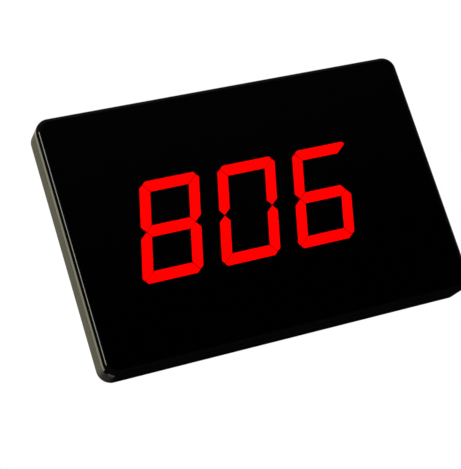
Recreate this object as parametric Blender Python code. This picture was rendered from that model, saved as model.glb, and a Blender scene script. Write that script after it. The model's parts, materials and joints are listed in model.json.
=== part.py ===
"""Wall display for call pagers: a flat case with three large seven-segment digits.

Frame: X to the right, Y from the front face back to the wall, Z up. The origin is the
centre of the rear face, which lies against the wall. All sizes are in metres.
"""

import math

import bmesh
import bpy
from mathutils import Matrix, Vector

MM = 0.001

# Case
WIDTH = 225 * MM
HEIGHT = 148.5 * MM
DEPTH = 20 * MM
WALL = 2 * MM
CORNER_RADIUS = 8 * MM
RIM = 2.6 * MM
FRONT_EDGE_RADIUS = 2.2 * MM
REAR_EDGE_RADIUS = 1.2 * MM
FRONT_SHELL_DEPTH = 6.5 * MM
FACE_PLATE = 1.5 * MM
TONGUE_THICKNESS = 1.2 * MM
TONGUE_LENGTH = 2 * MM
FIT = 0.3 * MM

# Window
WINDOW_THICKNESS = 2 * MM
WINDOW_PROUD = 0.2 * MM
WINDOW_BEVEL = 0.25 * MM

# Digits
DIGIT_COUNT = 3
DIGIT_HEIGHT = 57 * MM
DIGIT_WIDTH = 35.6 * MM
DIGIT_PITCH = 47 * MM
DIGIT_SLANT = 0.26
SEGMENT_WIDTH = 6.2 * MM
SEGMENT_GAP = 0.45 * MM
SEGMENT_CLEARANCE = 0.1 * MM
SEGMENT_CORNER_CUT = 3.5 * MM
DIGIT_GROUP_X = -6.4 * MM
DIGIT_GROUP_Z = -0.8 * MM
REFLECTOR_DEPTH = 8.2 * MM
REFLECTOR_MARGIN_X = 3.4 * MM
REFLECTOR_MARGIN_Z = 5.5 * MM
REFLECTOR_CORNER = 1.5 * MM
GUIDE_PLATE = 1.3 * MM
GUIDE_MARGIN = 2.4 * MM

# Boards
BOARD_THICKNESS = 1.6 * MM
BOARD_CORNER = 1.5 * MM
MAIN_BOARD_MARGIN_X = 3 * MM
MAIN_BOARD_MARGIN_Z = 9 * MM
BOARD_SCREW_INSET = 4.5 * MM
CONTROL_BOARD_WIDTH = 22 * MM
CONTROL_BOARD_CLEARANCE = 1 * MM

# Screws
CASE_SCREW_RADIUS = 1.4 * MM
CASE_SCREW_HEAD_RADIUS = 2.7 * MM
CASE_SCREW_LENGTH = 8 * MM
CASE_BOSS_RADIUS = 4.2 * MM
CASE_BOSS_INSET = 2.3 * MM
BOARD_SCREW_RADIUS = 1.2 * MM
BOARD_SCREW_HEAD_RADIUS = 2.4 * MM
BOARD_SCREW_LENGTH = 6 * MM
BOARD_BOSS_RADIUS = 2.8 * MM
HEAD_HEIGHT = 1.8 * MM
RECESS_WIDTH = 0.7 * MM
RECESS_DEPTH = 1 * MM
SCREW_POINT = 1 * MM
SCREW_TIP_SHARE = 0.5
HEAD_CROWN_SHARE = 0.7
RECESS_REACH_SHARE = 0.6

# Keys and tact switches
KEY_COUNT = 4
KEY_PITCH = 14 * MM
KEYS_Z = 22 * MM
KEY_LENGTH = 9 * MM
KEY_THICKNESS = 3.6 * MM
KEY_PROUD = 1 * MM
KEY_EDGE = 0.4 * MM
KEY_FLANGE_MARGIN = 0.7 * MM
KEY_FLANGE_THICKNESS = 1 * MM
KEY_STEM = 1.5 * MM
KEY_STEM_WIDTH = 2.4 * MM
KEY_CLEARANCE = 0.25 * MM
TACT_SIZE = 6 * MM
TACT_DEPTH = 3.6 * MM
TACT_HEIGHT = 4.2 * MM
PLUNGER_RADIUS = 0.9 * MM
PLUNGER_REACH = 1.2 * MM
PLUNGER_LENGTH = 2 * MM
PLUNGER_BORE_DEPTH = 2.4 * MM
PLUNGER_CLEARANCE = 0.15 * MM

# Power switch
SWITCH_Z = -22 * MM
SWITCH_LENGTH = 9 * MM
SWITCH_HEIGHT = 3.6 * MM
SWITCH_DEPTH = 3.6 * MM
SWITCH_TRAVEL = 2 * MM
KNOB_LENGTH = 3 * MM
KNOB_THICKNESS = 2.4 * MM
KNOB_PROUD = 0.8 * MM
KNOB_TANG_LENGTH = 1.6 * MM
KNOB_TANG_THICKNESS = 1.2 * MM
KNOB_TANG_DEPTH = 1.5 * MM

# Power inlet
JACK_Z = -40 * MM
JACK_LENGTH = 13 * MM
JACK_WIDTH = 10 * MM
JACK_HEIGHT = 9 * MM
JACK_BORE_RADIUS = 3.2 * MM
JACK_BORE_DEPTH = 9.5 * MM
JACK_PIN_RADIUS = 1.05 * MM
JACK_PIN_RECESS = 1.2 * MM
JACK_WALL_HOLE_RADIUS = 4 * MM

# Rear wall
KEYHOLE_X = 50 * MM
KEYHOLE_Z = 34 * MM
KEYHOLE_HEAD_RADIUS = 4.5 * MM
KEYHOLE_SLOT_WIDTH = 5 * MM
KEYHOLE_SLOT_RISE = 8 * MM
GRILLE_SLOT_WIDTH = 1.5 * MM
GRILLE_PITCH = 3.2 * MM
GRILLE_MARGIN = 2.5 * MM

# Loudspeaker
SPEAKER_X = -50 * MM
SPEAKER_RADIUS = 14 * MM
SPEAKER_DEPTH = 5.2 * MM
SPEAKER_MARGIN = 0.75 * MM
SPEAKER_RIM = 1.4 * MM
MAGNET_RADIUS = 8 * MM
MAGNET_DEPTH = 1.8 * MM
BASKET_FLOOR = 2.6 * MM
BASKET_FLOOR_RADIUS = 5 * MM
CONE_THICKNESS = 0.45 * MM
LEAD_RADIUS = 0.45 * MM
LEAD_SPACING = 2.5 * MM
LEAD_STEPS = 3

# Parts on the main board: x and z of the centre, then the sizes along X, Z and Y
CHIPS = {
    "microcontroller": ((-10 * MM, 4 * MM), (12 * MM, 12 * MM, 1.6 * MM)),
    "led_driver": ((18 * MM, 4 * MM), (10.3 * MM, 7.5 * MM, 2.3 * MM)),
    "audio_amplifier": ((-62 * MM, -28 * MM), (5 * MM, 4 * MM, 1.6 * MM)),
    "voltage_regulator": ((52 * MM, -26 * MM), (6.5 * MM, 6 * MM, 2.3 * MM)),
}
CHIP_EDGE = 0.3 * MM
CRYSTAL_CENTRE = (-10 * MM, -12 * MM)
CRYSTAL_SIZE = (11 * MM, 4.6 * MM, 3.5 * MM)
CAPACITOR_RADIUS = 3.15 * MM
CAPACITOR_HEIGHT = 4.7 * MM
CAPACITOR_EDGE = 0.4 * MM
CAPACITOR_CENTRES = ((36 * MM, -30 * MM), (44 * MM, -30 * MM))
SPEAKER_CONNECTOR_CENTRE = (-45 * MM, -36 * MM)
SPEAKER_CONNECTOR_SIZE = (7.5 * MM, 5 * MM, 4.5 * MM)

# Ribbon cable between the boards
RIBBON_CONNECTOR_WIDTH = 6 * MM
RIBBON_CONNECTOR_LENGTH = 16 * MM
RIBBON_CONNECTOR_HEIGHT = 3 * MM
RIBBON_CONNECTOR_INSET = 3.5 * MM
RIBBON_WIDTH = 12 * MM
RIBBON_THICKNESS = 0.3 * MM
RIBBON_ARCH = 1.4 * MM
RIBBON_STEPS = 8

# Radio receiver
RF_CENTRE = (-20 * MM, 24 * MM)
RF_BOARD_SIZE = (26 * MM, 14 * MM, 1 * MM)
RF_HEADER_SIZE = (20 * MM, 2.5 * MM, 1.1 * MM)
RF_HEADER_OFFSET = -4.5 * MM
RF_CAN_SIZE = (12 * MM, 9 * MM, 1.7 * MM)
ANTENNA_RADIUS = 1.8 * MM
ANTENNA_WIRE_RADIUS = 0.35 * MM
ANTENNA_TURNS = 7
ANTENNA_TURN_STEPS = 10
ANTENNA_PITCH = 2.4 * MM
ANTENNA_GAP = 14 * MM

# Fineness of round shapes
CORNER_SEGMENTS = 7
EDGE_SEGMENTS = 4
ROUND_SEGMENTS = 20
SCREW_SEGMENTS = 12
SPEAKER_SEGMENTS = 28
SHARP_ANGLE = math.radians(35)
OVERLAP = 0.4 * MM
REACH = 1 * MM
TOUCH = 0.001 * MM

# Levels along Y, from the front face to the wall
FRONT = -DEPTH
RIM_FRONT = FRONT + WINDOW_PROUD
WINDOW_BACK = FRONT + WINDOW_THICKNESS
PLATE_FRONT = WINDOW_BACK + FIT
PLATE_BACK = PLATE_FRONT + FACE_PLATE
PARTING = FRONT + FRONT_SHELL_DEPTH
COVER_FRONT = PARTING + FIT
REFLECTOR_FRONT = WINDOW_BACK + FIT
REFLECTOR_BACK = REFLECTOR_FRONT + REFLECTOR_DEPTH
BOARD_FRONT = REFLECTOR_BACK + FIT
BOARD_BACK = BOARD_FRONT + BOARD_THICKNESS
PART_SEAT = BOARD_BACK + FIT
REAR_WALL_FRONT = -WALL

# Places across the case
HALF_WIDTH = WIDTH / 2
HALF_HEIGHT = HEIGHT / 2
INNER_X = HALF_WIDTH - WALL
INNER_Z = HALF_HEIGHT - WALL
BAND_X = INNER_X - FIT - TONGUE_THICKNESS
DIGIT_SHEAR = DIGIT_SLANT * DIGIT_HEIGHT
DIGITS_WIDTH = (DIGIT_COUNT - 1) * DIGIT_PITCH + DIGIT_WIDTH + DIGIT_SHEAR
REFLECTOR_HALF_WIDTH = DIGITS_WIDTH / 2 + REFLECTOR_MARGIN_X
REFLECTOR_HALF_HEIGHT = DIGIT_HEIGHT / 2 + REFLECTOR_MARGIN_Z
MAIN_HALF_WIDTH = REFLECTOR_HALF_WIDTH + MAIN_BOARD_MARGIN_X
MAIN_HALF_HEIGHT = REFLECTOR_HALF_HEIGHT + MAIN_BOARD_MARGIN_Z
KEY_FLANGE_X = INNER_X - FIT
KEY_STEM_TIP = KEY_FLANGE_X - KEY_FLANGE_THICKNESS - KEY_STEM
PLUNGER_TIP = KEY_STEM_TIP - FIT
TACT_FRONT = PLUNGER_TIP - PLUNGER_REACH
KEY_Y = PART_SEAT + TACT_HEIGHT / 2
CONTROL_RIGHT = TACT_FRONT
CONTROL_LEFT = CONTROL_RIGHT - CONTROL_BOARD_WIDTH
SWITCH_Y = PART_SEAT + SWITCH_HEIGHT / 2
JACK_Y = (BOARD_FRONT + BOARD_BACK) / 2
JACK_FRONT = BAND_X - FIT
SPEAKER_Z = -(INNER_Z - SPEAKER_MARGIN - SPEAKER_RADIUS)
SPEAKER_BACK = REAR_WALL_FRONT - FIT - SPEAKER_DEPTH
HEAD_SEAT = BOARD_BACK + FIT
CASE_HEAD_SEAT = PLATE_BACK + FIT + CASE_SCREW_LENGTH
COUNTERBORE_RADIUS = CASE_SCREW_HEAD_RADIUS + FIT
CASE_BOSS_X = BAND_X - CASE_BOSS_RADIUS - CASE_BOSS_INSET
CASE_BOSS_Z = INNER_Z - FIT - TONGUE_THICKNESS - CASE_BOSS_RADIUS - CASE_BOSS_INSET
CONTROL_HALF_HEIGHT = CASE_BOSS_Z - CASE_BOSS_RADIUS - CONTROL_BOARD_CLEARANCE

# Base colour, roughness, metallic
FINISHES = {
    "gloss_black": ((0.012, 0.012, 0.011), 0.12, 0.0),
    "smoked_window": ((0.006, 0.006, 0.006), 0.05, 0.0),
    "case_grey": ((0.05, 0.046, 0.04), 0.4, 0.0),
    "matte_black": ((0.01, 0.01, 0.01), 0.7, 0.0),
    "segment_red": ((0.8, 0.01, 0.01), 0.4, 0.0),
    "board_green": ((0.02, 0.12, 0.05), 0.4, 0.0),
    "chip_black": ((0.02, 0.02, 0.02), 0.5, 0.0),
    "steel": ((0.6, 0.6, 0.6), 0.3, 1.0),
    "copper": ((0.8, 0.4, 0.25), 0.3, 1.0),
    "connector_white": ((0.75, 0.73, 0.68), 0.5, 0.0),
    "paper_cone": ((0.05, 0.05, 0.05), 0.9, 0.0),
    "lead_red": ((0.6, 0.02, 0.02), 0.5, 0.0),
    "lead_black": ((0.02, 0.02, 0.02), 0.5, 0.0),
    "ribbon_white": ((0.7, 0.7, 0.7), 0.5, 0.0),
}


def clear_scene():
    for obj in list(bpy.data.objects):
        bpy.data.objects.remove(obj)


def finish(name):
    """The named material, made the first time that it is asked for."""
    material = bpy.data.materials.get(name)
    if material:
        return material
    colour, roughness, metallic = FINISHES[name]
    material = bpy.data.materials.new(name)
    material.use_nodes = True
    shader = material.node_tree.nodes["Principled BSDF"]
    shader.inputs["Base Color"].default_value = (*colour, 1.0)
    shader.inputs["Roughness"].default_value = roughness
    shader.inputs["Metallic"].default_value = metallic
    material.diffuse_color = (*colour, 1.0)
    return material


def link(name, data, location=(0, 0, 0), rotation=(0, 0, 0)):
    obj = bpy.data.objects.new(name, data)
    obj.location = location
    obj.rotation_euler = rotation
    bpy.context.scene.collection.objects.link(obj)
    return obj


def mesh_of(name, bm):
    bmesh.ops.recalc_face_normals(bm, faces=bm.faces)
    mesh = bpy.data.meshes.new(name)
    bm.to_mesh(mesh)
    bm.free()
    return mesh


def piece(name, bm, finish_name, location=(0, 0, 0), rotation=(0, 0, 0)):
    """A visible sub-part made from a bmesh."""
    mesh = mesh_of(name, bm)
    mesh.materials.append(finish(finish_name))
    mesh.shade_smooth()
    mesh.set_sharp_from_angle(angle=SHARP_ANGLE)
    return link(name, mesh, location, rotation)


def combine(target, bm, operation):
    """Adds a helper shape to the target, or cuts it away, by a Boolean modifier."""
    name = f"{target.name}_{operation.lower()}_{len(target.modifiers)}"
    helper = link(name, mesh_of(name, bm), target.location, target.rotation_euler)
    helper.hide_render = True
    helper.display_type = "WIRE"
    modifier = target.modifiers.new(name, "BOOLEAN")
    modifier.operation = operation
    modifier.solver = "EXACT"
    modifier.object = helper


def fuse(target, bm):
    combine(target, bm, "UNION")


def cut(target, bm):
    combine(target, bm, "DIFFERENCE")


def box(bm, low, high):
    """Adds a box between two corners."""
    low, high = Vector(low), Vector(high)
    matrix = Matrix.LocRotScale((low + high) / 2, None, high - low)
    return bmesh.ops.create_cube(bm, size=1, matrix=matrix)["verts"]


def edges_along(verts, axis):
    """Edges between these vertices that run along the axis with this index."""
    found = {edge for vert in verts for edge in vert.link_edges}
    across = [other for other in range(3) if other != axis]
    return [
        edge
        for edge in found
        if all(abs(edge.verts[0].co[other] - edge.verts[1].co[other]) < TOUCH for other in across)
    ]


def round_edges(bm, edges, radius, segments):
    bmesh.ops.bevel(bm, geom=edges, offset=radius, segments=segments, affect="EDGES", profile=0.5, material=-1)


def slab(bm, centre, size, front, back, radius=0.0):
    """Adds a plate that faces along Y, centred on x and z, with rounded corners."""
    (x, z), (width, height) = centre, size
    low = (x - width / 2, front, z - height / 2)
    high = (x + width / 2, back, z + height / 2)
    verts = box(bm, low, high)
    if radius:
        round_edges(bm, edges_along(verts, 1), radius, CORNER_SEGMENTS)


def edges_at_level(bm, level):
    """Edges whose two ends lie at this place along Y."""
    return [edge for edge in bm.edges if all(abs(vert.co.y - level) < TOUCH for vert in edge.verts)]


def rod(bm, start, end, radius, segments=ROUND_SEGMENTS):
    """Adds a round bar between two points."""
    start, end = Vector(start), Vector(end)
    turn = (end - start).to_track_quat("Z", "Y")
    matrix = Matrix.LocRotScale((start + end) / 2, turn, None)
    bmesh.ops.create_cone(
        bm,
        cap_ends=True,
        segments=segments,
        radius1=radius,
        radius2=radius,
        depth=(end - start).length,
        matrix=matrix,
    )


def turned(profile, steps):
    """A solid turned round Z from points of (radius, height), first and last on the axis."""
    bm = bmesh.new()
    verts = [bm.verts.new((radius, 0, height)) for radius, height in profile]
    edges = [bm.edges.new(pair) for pair in zip(verts, verts[1:])]
    bmesh.ops.spin(
        bm,
        geom=verts + edges,
        axis=(0, 0, 1),
        cent=(0, 0, 0),
        angle=math.tau,
        steps=steps,
        use_merge=True,
    )
    bmesh.ops.remove_doubles(bm, verts=bm.verts, dist=TOUCH)
    return bm


def prism(bm, outline, front, back):
    """Adds a straight-sided shape along Y from an outline of (x, z) points."""
    face = bm.faces.new([bm.verts.new((point.x, front, point.y)) for point in outline])
    made = bmesh.ops.extrude_face_region(bm, geom=[face])["geom"]
    moved = [item for item in made if isinstance(item, bmesh.types.BMVert)]
    bmesh.ops.translate(bm, vec=(0, back - front, 0), verts=moved)


def wire(name, points, radius, finish_name):
    """A round wire along the points, as a curve with closed ends."""
    curve = bpy.data.curves.new(name, "CURVE")
    curve.dimensions = "3D"
    curve.bevel_depth = radius
    curve.bevel_resolution = 1
    curve.use_fill_caps = True
    spline = curve.splines.new("POLY")
    spline.points.add(len(points) - 1)
    for point, place in zip(spline.points, points):
        point.co = (*place, 1)
    curve.materials.append(finish(finish_name))
    link(name, curve)


def smooth_route(corners, steps):
    """Points of a smooth curve through the corners, some steps between each pair."""
    corners = [Vector(corner) for corner in corners]
    ends = [2 * corners[0] - corners[1], *corners, 2 * corners[-1] - corners[-2]]
    points = []
    for before, start, end, after in zip(ends, ends[1:], ends[2:], ends[3:]):
        for step in range(steps):
            t = step / steps
            pull = (end - before) * t + (2 * before - 5 * start + 4 * end - after) * t**2
            bend = (3 * start - before - 3 * end + after) * t**3
            points.append(start + (pull + bend) / 2)
    return points + [corners[-1]]


# Case


def case_boss_places():
    return [(x, z) for x in (-CASE_BOSS_X, 0, CASE_BOSS_X) for z in (-CASE_BOSS_Z, CASE_BOSS_Z)]


def main_screw_places():
    x = MAIN_HALF_WIDTH - BOARD_SCREW_INSET
    z = MAIN_HALF_HEIGHT - BOARD_SCREW_INSET
    return [(DIGIT_GROUP_X + side * x, end * z) for side in (-1, 1) for end in (-1, 1)]


def control_screw_places():
    z = CONTROL_HALF_HEIGHT - BOARD_SCREW_INSET
    return [(CONTROL_LEFT + BOARD_SCREW_INSET, end * z) for end in (-1, 1)]


def case_slab(bm, inset, front, back):
    """Adds a slab with the outline of the case, moved in by an inset."""
    size = (WIDTH - 2 * inset, HEIGHT - 2 * inset)
    slab(bm, (0, 0), size, front, back, CORNER_RADIUS - inset)


def make_front_shell():
    outer = bmesh.new()
    case_slab(outer, 0, RIM_FRONT, PARTING)
    round_edges(outer, edges_at_level(outer, RIM_FRONT), FRONT_EDGE_RADIUS, EDGE_SEGMENTS)
    shell = piece("front_shell", outer, "gloss_black")

    hollow = bmesh.new()
    case_slab(hollow, RIM, RIM_FRONT - REACH, PLATE_FRONT)
    case_slab(hollow, WALL, PLATE_BACK, PARTING + REACH)
    cut(shell, hollow)

    bosses = bmesh.new()
    for x, z in case_boss_places():
        rod(bosses, (x, PLATE_BACK - OVERLAP, z), (x, PARTING, z), CASE_BOSS_RADIUS)
    for x, z in main_screw_places() + control_screw_places():
        rod(bosses, (x, PLATE_BACK - OVERLAP, z), (x, BOARD_FRONT - FIT, z), BOARD_BOSS_RADIUS)
    fuse(shell, bosses)

    holes = bmesh.new()
    aperture = (2 * (REFLECTOR_HALF_WIDTH + FIT), 2 * (REFLECTOR_HALF_HEIGHT + FIT))
    centre = (DIGIT_GROUP_X, DIGIT_GROUP_Z)
    slab(holes, centre, aperture, PLATE_FRONT - REACH, PLATE_BACK + REACH, REFLECTOR_CORNER)
    for x, z in case_boss_places():
        rod(holes, (x, PLATE_BACK, z), (x, PARTING + REACH, z), CASE_SCREW_RADIUS + FIT, SCREW_SEGMENTS)
    for x, z in main_screw_places() + control_screw_places():
        rod(holes, (x, PLATE_BACK, z), (x, BOARD_FRONT, z), BOARD_SCREW_RADIUS + FIT, SCREW_SEGMENTS)
    cut(shell, holes)


def make_window():
    bm = bmesh.new()
    case_slab(bm, RIM + FIT, FRONT, WINDOW_BACK)
    round_edges(bm, edges_at_level(bm, FRONT), WINDOW_BEVEL, 1)
    piece("display_window", bm, "smoked_window")


def keyhole(slots, rounds, x):
    """Adds a round hole for a screw head, and above it a slot with a round top for the neck."""
    front, back = REAR_WALL_FRONT - REACH, REACH
    top = KEYHOLE_Z + KEYHOLE_SLOT_RISE
    rod(rounds, (x, front, KEYHOLE_Z), (x, back, KEYHOLE_Z), KEYHOLE_HEAD_RADIUS)
    rod(rounds, (x, front, top), (x, back, top), KEYHOLE_SLOT_WIDTH / 2)
    slab(slots, (x, (KEYHOLE_Z + top) / 2), (KEYHOLE_SLOT_WIDTH, top - KEYHOLE_Z), front, back)


def grille_slots(bm):
    """Adds a row of upright slots that together fill a circle in front of the loudspeaker."""
    reach = SPEAKER_RADIUS - GRILLE_MARGIN
    count = math.floor(reach / GRILLE_PITCH)
    for index in range(-count, count + 1):
        x = index * GRILLE_PITCH
        length = 2 * math.sqrt(reach**2 - x**2)
        size = (GRILLE_SLOT_WIDTH, length)
        slab(bm, (SPEAKER_X + x, SPEAKER_Z), size, REAR_WALL_FRONT - REACH, REACH)


def side_wall_holes(bm):
    """Adds the holes in the right wall for the keys, the switch knob and the power plug."""
    low_x, high_x = BAND_X - REACH, HALF_WIDTH + REACH
    half_y = KEY_THICKNESS / 2 + KEY_CLEARANCE
    half_z = KEY_LENGTH / 2 + KEY_CLEARANCE
    for z in key_heights():
        box(bm, (low_x, KEY_Y - half_y, z - half_z), (high_x, KEY_Y + half_y, z + half_z))
    half_y = KNOB_THICKNESS / 2 + KEY_CLEARANCE
    half_z = (KNOB_LENGTH + SWITCH_TRAVEL) / 2 + KEY_CLEARANCE
    low = (low_x, SWITCH_Y - half_y, SWITCH_Z - half_z)
    box(bm, low, (high_x, SWITCH_Y + half_y, SWITCH_Z + half_z))
    rod(bm, (low_x, JACK_Y, JACK_Z), (high_x, JACK_Y, JACK_Z), JACK_WALL_HOLE_RADIUS)


def make_rear_cover():
    outer = bmesh.new()
    case_slab(outer, 0, COVER_FRONT, 0)
    round_edges(outer, edges_at_level(outer, 0), REAR_EDGE_RADIUS, EDGE_SEGMENTS)
    cover = piece("rear_cover", outer, "case_grey")

    tongue = bmesh.new()
    case_slab(tongue, WALL + FIT, COVER_FRONT - TONGUE_LENGTH, COVER_FRONT + OVERLAP)
    fuse(cover, tongue)

    hollow = bmesh.new()
    band_back = COVER_FRONT + TONGUE_LENGTH
    case_slab(hollow, WALL + FIT + TONGUE_THICKNESS, COVER_FRONT - TONGUE_LENGTH - REACH, band_back)
    cut(cover, hollow)
    room = bmesh.new()
    case_slab(room, WALL, band_back - TOUCH, REAR_WALL_FRONT)
    cut(cover, room)

    bosses = bmesh.new()
    for x, z in case_boss_places():
        rod(bosses, (x, COVER_FRONT, z), (x, REAR_WALL_FRONT + OVERLAP, z), CASE_BOSS_RADIUS)
    fuse(cover, bosses)

    necks, counterbores = bmesh.new(), bmesh.new()
    for x, z in case_boss_places():
        rod(necks, (x, COVER_FRONT - REACH, z), (x, CASE_HEAD_SEAT, z), CASE_SCREW_RADIUS + FIT)
        rod(counterbores, (x, CASE_HEAD_SEAT - FIT, z), (x, REACH, z), COUNTERBORE_RADIUS)
    slots, rounds = bmesh.new(), bmesh.new()
    for side in (-1, 1):
        keyhole(slots, rounds, side * KEYHOLE_X)
    grille_slots(slots)
    sides = bmesh.new()
    side_wall_holes(sides)
    for shape in (necks, counterbores, slots, rounds, sides):
        cut(cover, shape)


def make_screw(name, x, z, seat, radius, head_radius, length):
    """A pan head screw with a cross recess. Its head sits on the seat level and faces +Y."""
    profile = [
        (0, -length),
        (radius * SCREW_TIP_SHARE, -length),
        (radius, SCREW_POINT - length),
        (radius, 0),
        (head_radius, 0),
        (head_radius, HEAD_HEIGHT / 2),
        (head_radius * HEAD_CROWN_SHARE, HEAD_HEIGHT),
        (0, HEAD_HEIGHT),
    ]
    screw = piece(name, turned(profile, SCREW_SEGMENTS), "steel", (x, seat, z), (-math.pi / 2, 0, 0))
    half, arm = RECESS_WIDTH / 2, head_radius * RECESS_REACH_SHARE
    top = HEAD_HEIGHT + REACH
    first = bmesh.new()
    box(first, (-arm, -half, HEAD_HEIGHT - RECESS_DEPTH), (arm, half, top))
    cut(screw, first)
    second = bmesh.new()
    box(second, (-half, -arm, HEAD_HEIGHT - RECESS_DEPTH), (half, arm, top))
    cut(screw, second)


def make_screws():
    for number, (x, z) in enumerate(case_boss_places(), 1):
        make_screw(
            f"case_screw_{number}",
            x,
            z,
            CASE_HEAD_SEAT,
            CASE_SCREW_RADIUS,
            CASE_SCREW_HEAD_RADIUS,
            CASE_SCREW_LENGTH,
        )
    groups = {"main_board_screw": main_screw_places(), "control_board_screw": control_screw_places()}
    for group, places in groups.items():
        for number, (x, z) in enumerate(places, 1):
            make_screw(
                f"{group}_{number}",
                x,
                z,
                HEAD_SEAT,
                BOARD_SCREW_RADIUS,
                BOARD_SCREW_HEAD_RADIUS,
                BOARD_SCREW_LENGTH,
            )


# Digits


def mirrored(outline, side, end):
    """The outline mirrored in X where side is -1 and in Z where end is -1, still anticlockwise."""
    points = [Vector((point.x * side, point.y * end)) for point in outline]
    return points if side * end > 0 else points[::-1]


def grown(outline, distance):
    """The convex anticlockwise outline with each side moved out by a distance."""
    corners = []
    for before, here, after in zip(outline[-1:] + outline, outline, outline[1:] + outline[:1]):
        first = (here - before).normalized()
        second = (after - here).normalized()
        outward = Vector((first.y + second.y, -first.x - second.x))
        corners.append(here + outward * distance / (1 + first.dot(second)))
    return corners


def segment_cells():
    """The seven cells of a digit, which meet along their mitres, before the digit is slanted."""
    half = (SEGMENT_WIDTH + SEGMENT_GAP) / 2
    right = (DIGIT_WIDTH - SEGMENT_WIDTH) / 2
    top = (DIGIT_HEIGHT - SEGMENT_WIDTH) / 2
    chamfer = SEGMENT_CORNER_CUT
    inner = Vector((right - half, top - half))
    mitre = Vector((right + half - chamfer / 2, top + half - chamfer / 2))
    across = [
        Vector((-inner.x, inner.y)),
        inner,
        mitre,
        Vector((right + half - chamfer, top + half)),
        Vector((-(right + half - chamfer), top + half)),
        Vector((-mitre.x, mitre.y)),
    ]
    upright = [
        Vector((right, 0)),
        Vector((right + half, half)),
        Vector((right + half, top + half - chamfer)),
        mitre,
        inner,
        Vector((right - half, half)),
    ]
    middle = [
        Vector((-right, 0)),
        Vector((half - right, -half)),
        Vector((right - half, -half)),
        Vector((right, 0)),
        Vector((right - half, half)),
        Vector((half - right, half)),
    ]
    cells = [across, mirrored(across, 1, -1), middle]
    return cells + [mirrored(upright, side, end) for side in (-1, 1) for end in (-1, 1)]


def slanted(outline, centre_x):
    """An outline drawn round the middle of a digit, leant over and moved to its place."""
    points = [Vector((centre_x + point.x + DIGIT_SLANT * point.y, point.y)) for point in outline]
    return [point + Vector((0, DIGIT_GROUP_Z)) for point in points]


def digit_centres():
    first = DIGIT_GROUP_X - (DIGIT_COUNT - 1) * DIGIT_PITCH / 2
    return [first + index * DIGIT_PITCH for index in range(DIGIT_COUNT)]


def plate_outline(margin):
    """The backing plate of one digit, as large as the digit and a margin."""
    x = DIGIT_WIDTH / 2 + margin
    z = DIGIT_HEIGHT / 2 + margin
    return [Vector((-x, -z)), Vector((x, -z)), Vector((x, z)), Vector((-x, z))]


def make_digits():
    block = bmesh.new()
    size = (2 * REFLECTOR_HALF_WIDTH, 2 * REFLECTOR_HALF_HEIGHT)
    centre = (DIGIT_GROUP_X, DIGIT_GROUP_Z)
    slab(block, centre, size, REFLECTOR_FRONT, REFLECTOR_BACK, REFLECTOR_CORNER)
    reflector = piece("digit_reflector", block, "matte_black")
    slots = bmesh.new()
    pockets = bmesh.new()
    plate_front = REFLECTOR_BACK - GUIDE_PLATE
    for number, x in enumerate(digit_centres(), 1):
        plate = bmesh.new()
        prism(plate, slanted(plate_outline(GUIDE_MARGIN), x), plate_front, REFLECTOR_BACK)
        guide = piece(f"digit_{number}_light_guide", plate, "segment_red")
        segments = bmesh.new()
        for cell in segment_cells():
            lens = grown(cell, -SEGMENT_GAP / 2)
            prism(segments, slanted(lens, x), REFLECTOR_FRONT, plate_front + OVERLAP)
            slot = grown(cell, SEGMENT_CLEARANCE - SEGMENT_GAP / 2)
            prism(slots, slanted(slot, x), REFLECTOR_FRONT - REACH, REFLECTOR_BACK + REACH)
        fuse(guide, segments)
        pocket = plate_outline(GUIDE_MARGIN + FIT)
        prism(pockets, slanted(pocket, x), plate_front - FIT, REFLECTOR_BACK + REACH)
    cut(reflector, slots)
    cut(reflector, pockets)


# Boards


def board(name, centre, size, screw_places):
    bm = bmesh.new()
    slab(bm, centre, size, BOARD_FRONT, BOARD_BACK, BOARD_CORNER)
    made = piece(name, bm, "board_green")
    holes = bmesh.new()
    for x, z in screw_places:
        start, end = (x, BOARD_FRONT - REACH, z), (x, BOARD_BACK + REACH, z)
        rod(holes, start, end, BOARD_SCREW_RADIUS + FIT, SCREW_SEGMENTS)
    cut(made, holes)
    return made


def make_boards():
    size = (2 * MAIN_HALF_WIDTH, 2 * MAIN_HALF_HEIGHT)
    board("main_board", (DIGIT_GROUP_X, 0), size, main_screw_places())
    centre = ((CONTROL_LEFT + CONTROL_RIGHT) / 2, 0)
    size = (CONTROL_BOARD_WIDTH, 2 * CONTROL_HALF_HEIGHT)
    control = board("control_board", centre, size, control_screw_places())
    notch = bmesh.new()
    half = JACK_WIDTH / 2 + FIT
    low = (JACK_FRONT - JACK_LENGTH - FIT, BOARD_FRONT - REACH, JACK_Z - half)
    box(notch, low, (CONTROL_RIGHT + REACH, BOARD_BACK + REACH, JACK_Z + half))
    cut(control, notch)


def board_part(name, centre, size, finish_name, seat=PART_SEAT, edge=0.0):
    """A block that stands on a board, with its sizes along X, Z and Y."""
    width, height, depth = size
    bm = bmesh.new()
    slab(bm, centre, (width, height), seat, seat + depth)
    if edge:
        round_edges(bm, edges_at_level(bm, seat + depth), edge, 1)
    return piece(name, bm, finish_name)


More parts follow.
